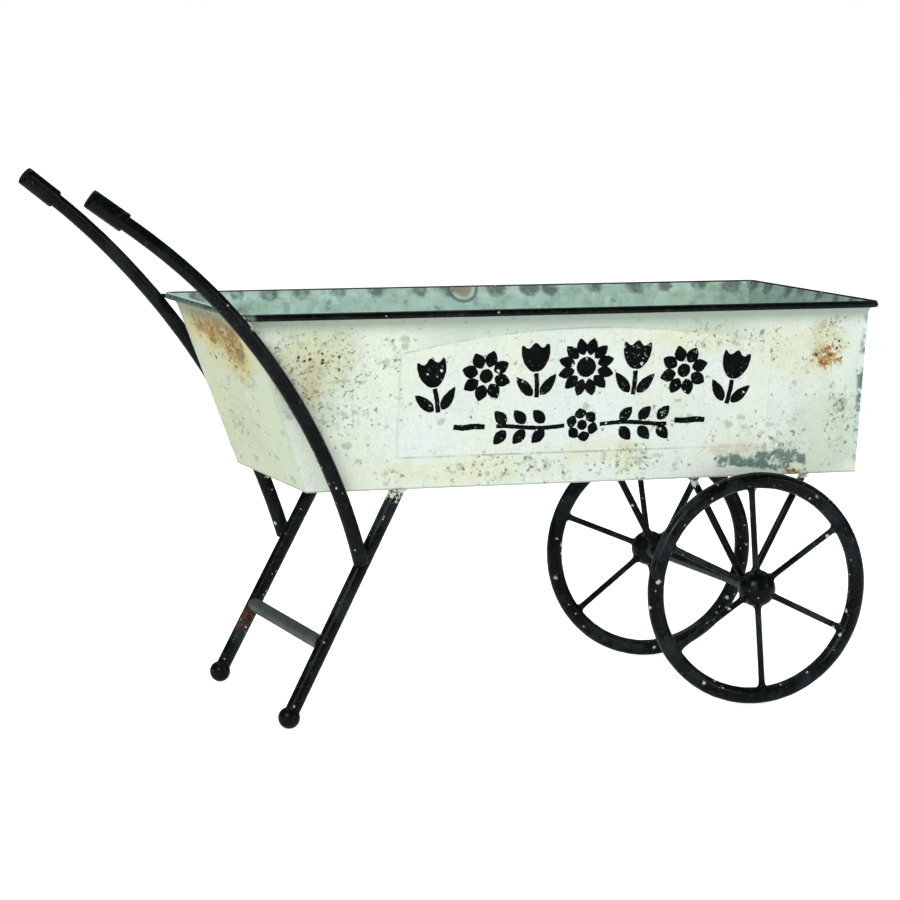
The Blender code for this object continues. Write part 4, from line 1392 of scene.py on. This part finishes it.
def sprig(length, height, pairs):
    """A level stem with pairs of bold leaves and a round flower in the middle."""
    shapes = []
    for way in (-1, 1):
        line = [(way * (height * 0.58 + (length / 2 - height * 0.58) * t),
                 height * 0.05 * math.sin(way * t * math.pi * 1.5)) for t in np.linspace(0, 1, 17)]
        shapes.append(stroke(line, [height * 0.13] * 17))
    for i in range(pairs):
        t = (i + 0.5) / pairs
        u = length * (t - 0.5)
        if abs(u) < height * 0.7:
            continue
        way = 1 if t < 0.5 else -1
        for side in (-1, 1):
            angle = math.radians(90 + way * LEAF_LEAN) * side
            shapes.append(turned_shape(petal(height * 0.56, height * 0.37, point=0.15), angle,
                                       (u, side * height * 0.10)))
    shapes += [turned_shape(part, 0.2) for part in daisy(height * 1.08, 6, 0.15, 0.36)]
    return shapes


def motif_shapes():
    """Every outline of the print, as (X, Z) on the panel."""
    middle = (PRESSING_X[0] + PRESSING_X[1]) / 2 - 0.002
    base_z = FLOWER_ROW_Z - PRESSING_ARCH_R
    shapes = []
    row = (("tulip", -0.1370), ("daisy", -0.0905), ("tulip", -0.0455), ("sunflower", 0.0),
           ("tulip", 0.0455), ("daisy", 0.0905), ("tulip", 0.1370))
    for kind, offset in row:
        angle = offset / PRESSING_ARCH_R
        center = (middle + PRESSING_ARCH_R * math.sin(angle), base_z + PRESSING_ARCH_R * math.cos(angle))
        if kind == "tulip":
            parts = tulip(0.0480)
        elif kind == "daisy":
            parts = daisy(0.0450)
        else:
            parts = daisy(0.0520, 12, 0.17, 0.19)
        shapes += [turned_shape(part, -angle, center) for part in parts]
    shapes += [turned_shape(part, 0.0, (middle - 0.001, SPRIG_Z)) for part in sprig(0.156, 0.028, 9)]
    for u in (-0.1035, 0.0985):
        bar = [(u + 0.014 * t + middle, 0.2518 + 0.0004 * math.sin(4 * t)) for t in np.linspace(-1, 1, 13)]
        shapes.append(stroke(bar, [0.0034 + 0.0018 * math.cos(t) for t in np.linspace(-1, 1, 13)]))
    return shapes


def resampled(shape, step, wobble, seed):
    """Even out an outline and make its edge slightly ragged."""
    out = []
    for i in range(len(shape)):
        a, b = shape[i], shape[(i + 1) % len(shape)]
        run = math.hypot(b[0] - a[0], b[1] - a[1])
        parts = max(1, int(run / step))
        for k in range(parts):
            t = k / parts
            u, v = a[0] + (b[0] - a[0]) * t, a[1] + (b[1] - a[1]) * t
            shift = Vector((u / 0.0016, v / 0.0016, seed))
            out.append((u + wobble * noise.noise(shift), v + wobble * noise.noise(-shift)))
    return out


def build_motif(mats):
    """The print as thin raised films of paint on the near side."""
    bm = bmesh.new()
    for seed, shape in enumerate(motif_shapes()):
        outline = resampled(shape, 0.0010, 0.00042, seed * 0.37)
        flat = [Vector((u, 0, v)) for u, v in outline]
        triangles = tessellate_polygon([flat])
        top = [bm.verts.new(point) for point in flat]
        for tri in triangles:
            bm.faces.new([top[i] for i in tri])
    for _ in range(2):
        long_edges = [e for e in bm.edges if e.calc_length() > 0.0035]
        bmesh.ops.subdivide_edges(bm, edges=long_edges, cuts=1)
        bmesh.ops.triangulate(bm, faces=[f for f in bm.faces if len(f.verts) > 3])
    bmesh.ops.recalc_face_normals(bm, faces=bm.faces[:])
    for face in bm.faces:
        if face.normal.y > 0:
            face.normal_flip()
    bm.verts.ensure_lookup_table()
    flat_points = [v.co.copy() for v in bm.verts]
    faces = [[v.index for v in f.verts] for f in bm.faces]
    border = [(e.verts[0].index, e.verts[1].index) for e in bm.edges if len(e.link_faces) == 1]
    bm.free()
    count = len(flat_points)
    verts = [panel_point(p.x, p.z, FILM_FRONT) for p in flat_points]
    verts += [panel_point(p.x, p.z, FILM_BACK) for p in flat_points]
    shell = [tuple(f) for f in faces] + [tuple(i + count for i in reversed(f)) for f in faces]
    shell += [(a, b, b + count, a + count) for a, b in border]
    add_piece("stencil_motif", (verts, shell), mats["stencil"])


# ---------------------------------------------------------------- small finishing touches


def build_paint_blobs(mats):
    """Thick drips of white paint left over the black frame."""
    shells = Shells()
    spots = ((leg_point(-1, TROUGH_Z - 0.0040) + Vector((-0.0012, -0.0052, 0)), 0.0026, 0.0020),
             (leg_point(-1, TROUGH_Z - 0.0100) + Vector((0.0010, -0.0056, 0)), 0.0010, 0.0012),
             (Vector((AXLE_X + STRUT_SPREAD - 0.001, -STRUT_HALF_Y - 0.0030, TROUGH_Z - 0.0025)),
              0.0030, 0.0018),
             (leg_point(1, 0.0500) + Vector((0.0010, -0.0056, 0)), 0.0011, 0.0012))
    for i, (center, wide, tall) in enumerate(spots):
        shells.add(*lump(center, (wide, 0.0009, tall), Matrix.Identity(3), seed=i * 1.7, rough=0.5))
    add_piece("paint_drips", shells.shape, mats["drip"])


def plain_material(name, size, tones, grain, depth, **fixed):
    """Two tones in patches of one size, over a fine grain of one depth."""
    shade = Shade(name)
    tone = shade.patches(size, 0.3, 0.7, 4.0)
    color = shade.mix(tone, srgb(*tones[0]), srgb(*tones[1]))
    roughness = shade.add(0.35, shade.times(tone, 0.2))
    normal = shade.bump(shade.noise(grain), depth, 0.5)
    return shade.finish(color, roughness, normal, **fixed)


# ---------------------------------------------------------------- stage


# Lamps: name, place, diameter in metres, power in watts.
LAMPS = (("key", (-2.3, -2.5, 2.3), 1.5, 72.0), ("fill", (2.4, -2.4, 1.2), 1.6, 16.0),
         ("top", (0.2, 1.2, 2.6), 2.0, 22.0))
LAMP_TARGET = Vector((0.0, 0.0, 0.2))

# Strengths as seen by the camera, as light on the cart and as mirrored by it.
ROOM_LEVELS = (1.0, 0.43, 0.09)
FLOOR_LEVELS = (0.80, 0.40, 0.04)
FLOOR_REACH = 30.0              # half width of the studio floor


def make_camera():
    """Camera at the original viewing angle."""
    azimuth, elevation, roll = map(math.radians, (-18.3152, 6.6771, 0.1490))
    distance = 3.10652
    target = Vector((0.0037, 0.0, 0.2181))
    forward = Vector((-math.sin(azimuth) * math.cos(elevation),
                      math.cos(azimuth) * math.cos(elevation), -math.sin(elevation)))
    flat_right = forward.cross(Z_AXIS).normalized()
    flat_up = flat_right.cross(forward)
    right = flat_right * math.cos(roll) + flat_up * math.sin(roll)
    up = flat_up * math.cos(roll) - flat_right * math.sin(roll)
    data = bpy.data.cameras.new("view")
    data.lens = 140.344
    data.sensor_width = 36.0
    camera = bpy.data.objects.new("view", data)
    bpy.context.collection.objects.link(camera)
    turn = Matrix((right, up, -forward)).transposed().to_4x4()
    camera.matrix_world = Matrix.Translation(target - forward * distance) @ turn
    bpy.context.scene.camera = camera


def make_light(name, location, size, power):
    """Round soft light aimed at the middle of the cart."""
    data = bpy.data.lights.new(name, "AREA")
    data.shape = "DISK"
    data.size = size
    data.energy = power
    light = bpy.data.objects.new(name, data)
    bpy.context.collection.objects.link(light)
    light.matrix_world = placed(Vector(location), Vector(location) - LAMP_TARGET)


def ray_levels(tree, camera, diffuse, glossy):
    """Strength socket: one level seen directly, another lighting the object, another mirrored."""
    path = tree.nodes.new("ShaderNodeLightPath")
    level = diffuse
    for kind, value in (("Is Glossy Ray", glossy), ("Is Camera Ray", camera)):
        pick = tree.nodes.new("ShaderNodeMapRange")
        tree.links.new(path.outputs[kind], pick.inputs[0])
        if isinstance(level, float):
            pick.inputs[3].default_value = level
        else:
            tree.links.new(level, pick.inputs[3])
        pick.inputs[4].default_value = value
        level = pick.outputs[0]
    return level


def make_stage():
    """White floor, white surroundings and soft studio light."""
    scene = bpy.context.scene
    scene.view_settings.view_transform = "Standard"
    scene.view_settings.look = "None"
    world = bpy.data.worlds.new("studio")
    world.use_nodes = True
    tree = world.node_tree
    background = tree.nodes["Background"]
    background.inputs[0].default_value = (1.0, 1.0, 1.0, 1.0)
    tree.links.new(ray_levels(tree, *ROOM_LEVELS), background.inputs[1])
    scene.world = world

    shade = Shade("studio_floor")
    tone = shade.patches(0.4, 0.2, 0.8, 2.0)
    color = shade.mix(tone, (0.86, 0.86, 0.86, 1.0), (0.90, 0.90, 0.90, 1.0))
    roughness = shade.add(0.85, shade.times(tone, 0.05))
    floor_material = shade.finish(color, roughness, Specular_IOR_Level=0.1)
    shade.tree.links.new(ray_levels(shade.tree, *FLOOR_LEVELS),
                         shade.shader.inputs["Emission Strength"])
    shade.shader.inputs["Emission Color"].default_value = (1.0, 1.0, 1.0, 1.0)
    mesh = bpy.data.meshes.new("studio_floor")
    corners = ((-1, -1), (1, -1), (1, 1), (-1, 1))
    mesh.from_pydata([(x * FLOOR_REACH, y * FLOOR_REACH, 0) for x, y in corners], [],
                     [(0, 1, 2, 3)])
    mesh.materials.append(floor_material)
    floor = bpy.data.objects.new("studio_floor", mesh)
    floor.location.z = -0.0004
    bpy.context.collection.objects.link(floor)
    for lamp in LAMPS:
        make_light(*lamp)


# ---------------------------------------------------------------- build


# Walls: key, name, wear, axis along the wall, tints, other settings.
PAINTED = (
    ("paint_right", "paint_near_side", SIDE_WEAR["right"], "X", TINT_SIDE, {"pressed": True}),
    ("paint_left", "paint_far_side", SIDE_WEAR["left"], "X", TINT_SIDE, {"pressed": True}),
    ("paint_handles", "paint_handle_end", HANDLE_END_WEAR, "Y", TINT_END_SHADED, {"stretch": (1, 0.45, 1)}),
    ("paint_wheels", "paint_wheel_end", WHEEL_END_WEAR, "Y", TINT_END_SHADED, {"stretch": (1, 0.6, 1)}),
)

# Bare sheet: key, name, axis of the wall whose rim has stains, painted shade over the whole sheet.
GALVANISED = (
    ("zinc_long", "zinc_long_walls", "X", 0.0), ("zinc_handles", "zinc_handle_end", "Y", 0.0),
    ("zinc_wheels", "zinc_wheel_end", "Y", 0.42), ("zinc_floor", "zinc_floor", None, 0.0),
    ("zinc_lap", "zinc_lap", None, 0.0), ("zinc_lip", "zinc_lip", None, 0.0),
)

# Black paint: key, name, dust and painted sheen, cream spatter, gloss, other settings.
BLACK = (
    ("rim_black", "rim_black", 0.25, 0.03, 0.30, {"patch": rubbed_end}),
    ("handle", "handle_black", 0.25, 0.11, 0.30, {"fade": (0.20, 0.30)}),
    ("strut", "strut_black", 0.22, 0.05, 0.32, {"patch": overspray}),
    ("wheel", "wheel_black", 0.42, 0.09, 0.30, {}),
    ("hub", "hub_black", 0.20, 0.02, 0.28, {}),
    ("weld", "weld_black", 0.22, 0.02, 0.40, {"rust": 0.10, "patch": overspray}),
    ("grip", "grip_black", 0.14, 0.01, 0.34, {}),
    ("axle", "axle_black", 0.45, 0.03, 0.34, {}),
    ("leg_right", "leg_near_black", 0.46, 0.06, 0.34, {"patch": overspray}),
    ("leg_left", "leg_far_black", 0.40, 0.06, 0.34, {"patch": rust_band}),
)


def make_materials():
    mats = {
        "crossbar": crossbar_material(),
        "stencil": stencil_material(),
        "drip": plain_material("thick_white_paint", 0.003, ((222, 226, 208), (196, 202, 182)),
                               0.0012, 0.0002),
        "steel": plain_material("dull_steel", 0.002, ((70, 74, 72), (110, 114, 110)),
                                0.001, 0.0001, Metallic=0.8),
    }
    for key, name, wear, across, tint, other in PAINTED:
        mats[key] = paint_material(name, wear, across, tint, **other)
    for key, name, scallops, dull_and_shade in GALVANISED:
        mats[key] = zinc_material(name, scallops, dull_and_shade)
    for key, name, dust_and_sheen, cream, gloss, other in BLACK:
        mats[key] = black_material(name, dust_and_sheen, cream, gloss, **other)
    return mats


def dress_small_nodes(mats):
    """Give the axle collars and push nuts, which are shown as in the CAD, their steel look."""
    for label in SIDES:
        for node in (f"axle_collar_{label}", f"push_nut_{label}"):
            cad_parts[node].data.materials.clear()
            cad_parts[node].data.materials.append(mats["steel"])


def build():
    mats = make_materials()
    welds = Shells()
    for label, side in SIDES.items():
        build_side_wall(label, side, mats)
        build_leg(label, side, mats, welds)
        build_handle(label, side, mats, welds)
        build_wheel(label, side, mats)
    for end in (0, 1):
        build_end_wall(end, mats)
    for builder in (build_rim_corner, build_seam_lap):
        for end in (0, 1):
            for label, side in SIDES.items():
                builder(end, label, side, mats)
    build_floor(mats)
    build_rim_rod(mats)
    build_crossbar(mats, welds)
    build_axle(mats, welds)
    add_piece("frame_welds", welds.shape, mats["weld"])
    build_motif(mats)
    build_paint_blobs(mats)
    dress_small_nodes(mats)
    make_stage()
    make_camera()


build()
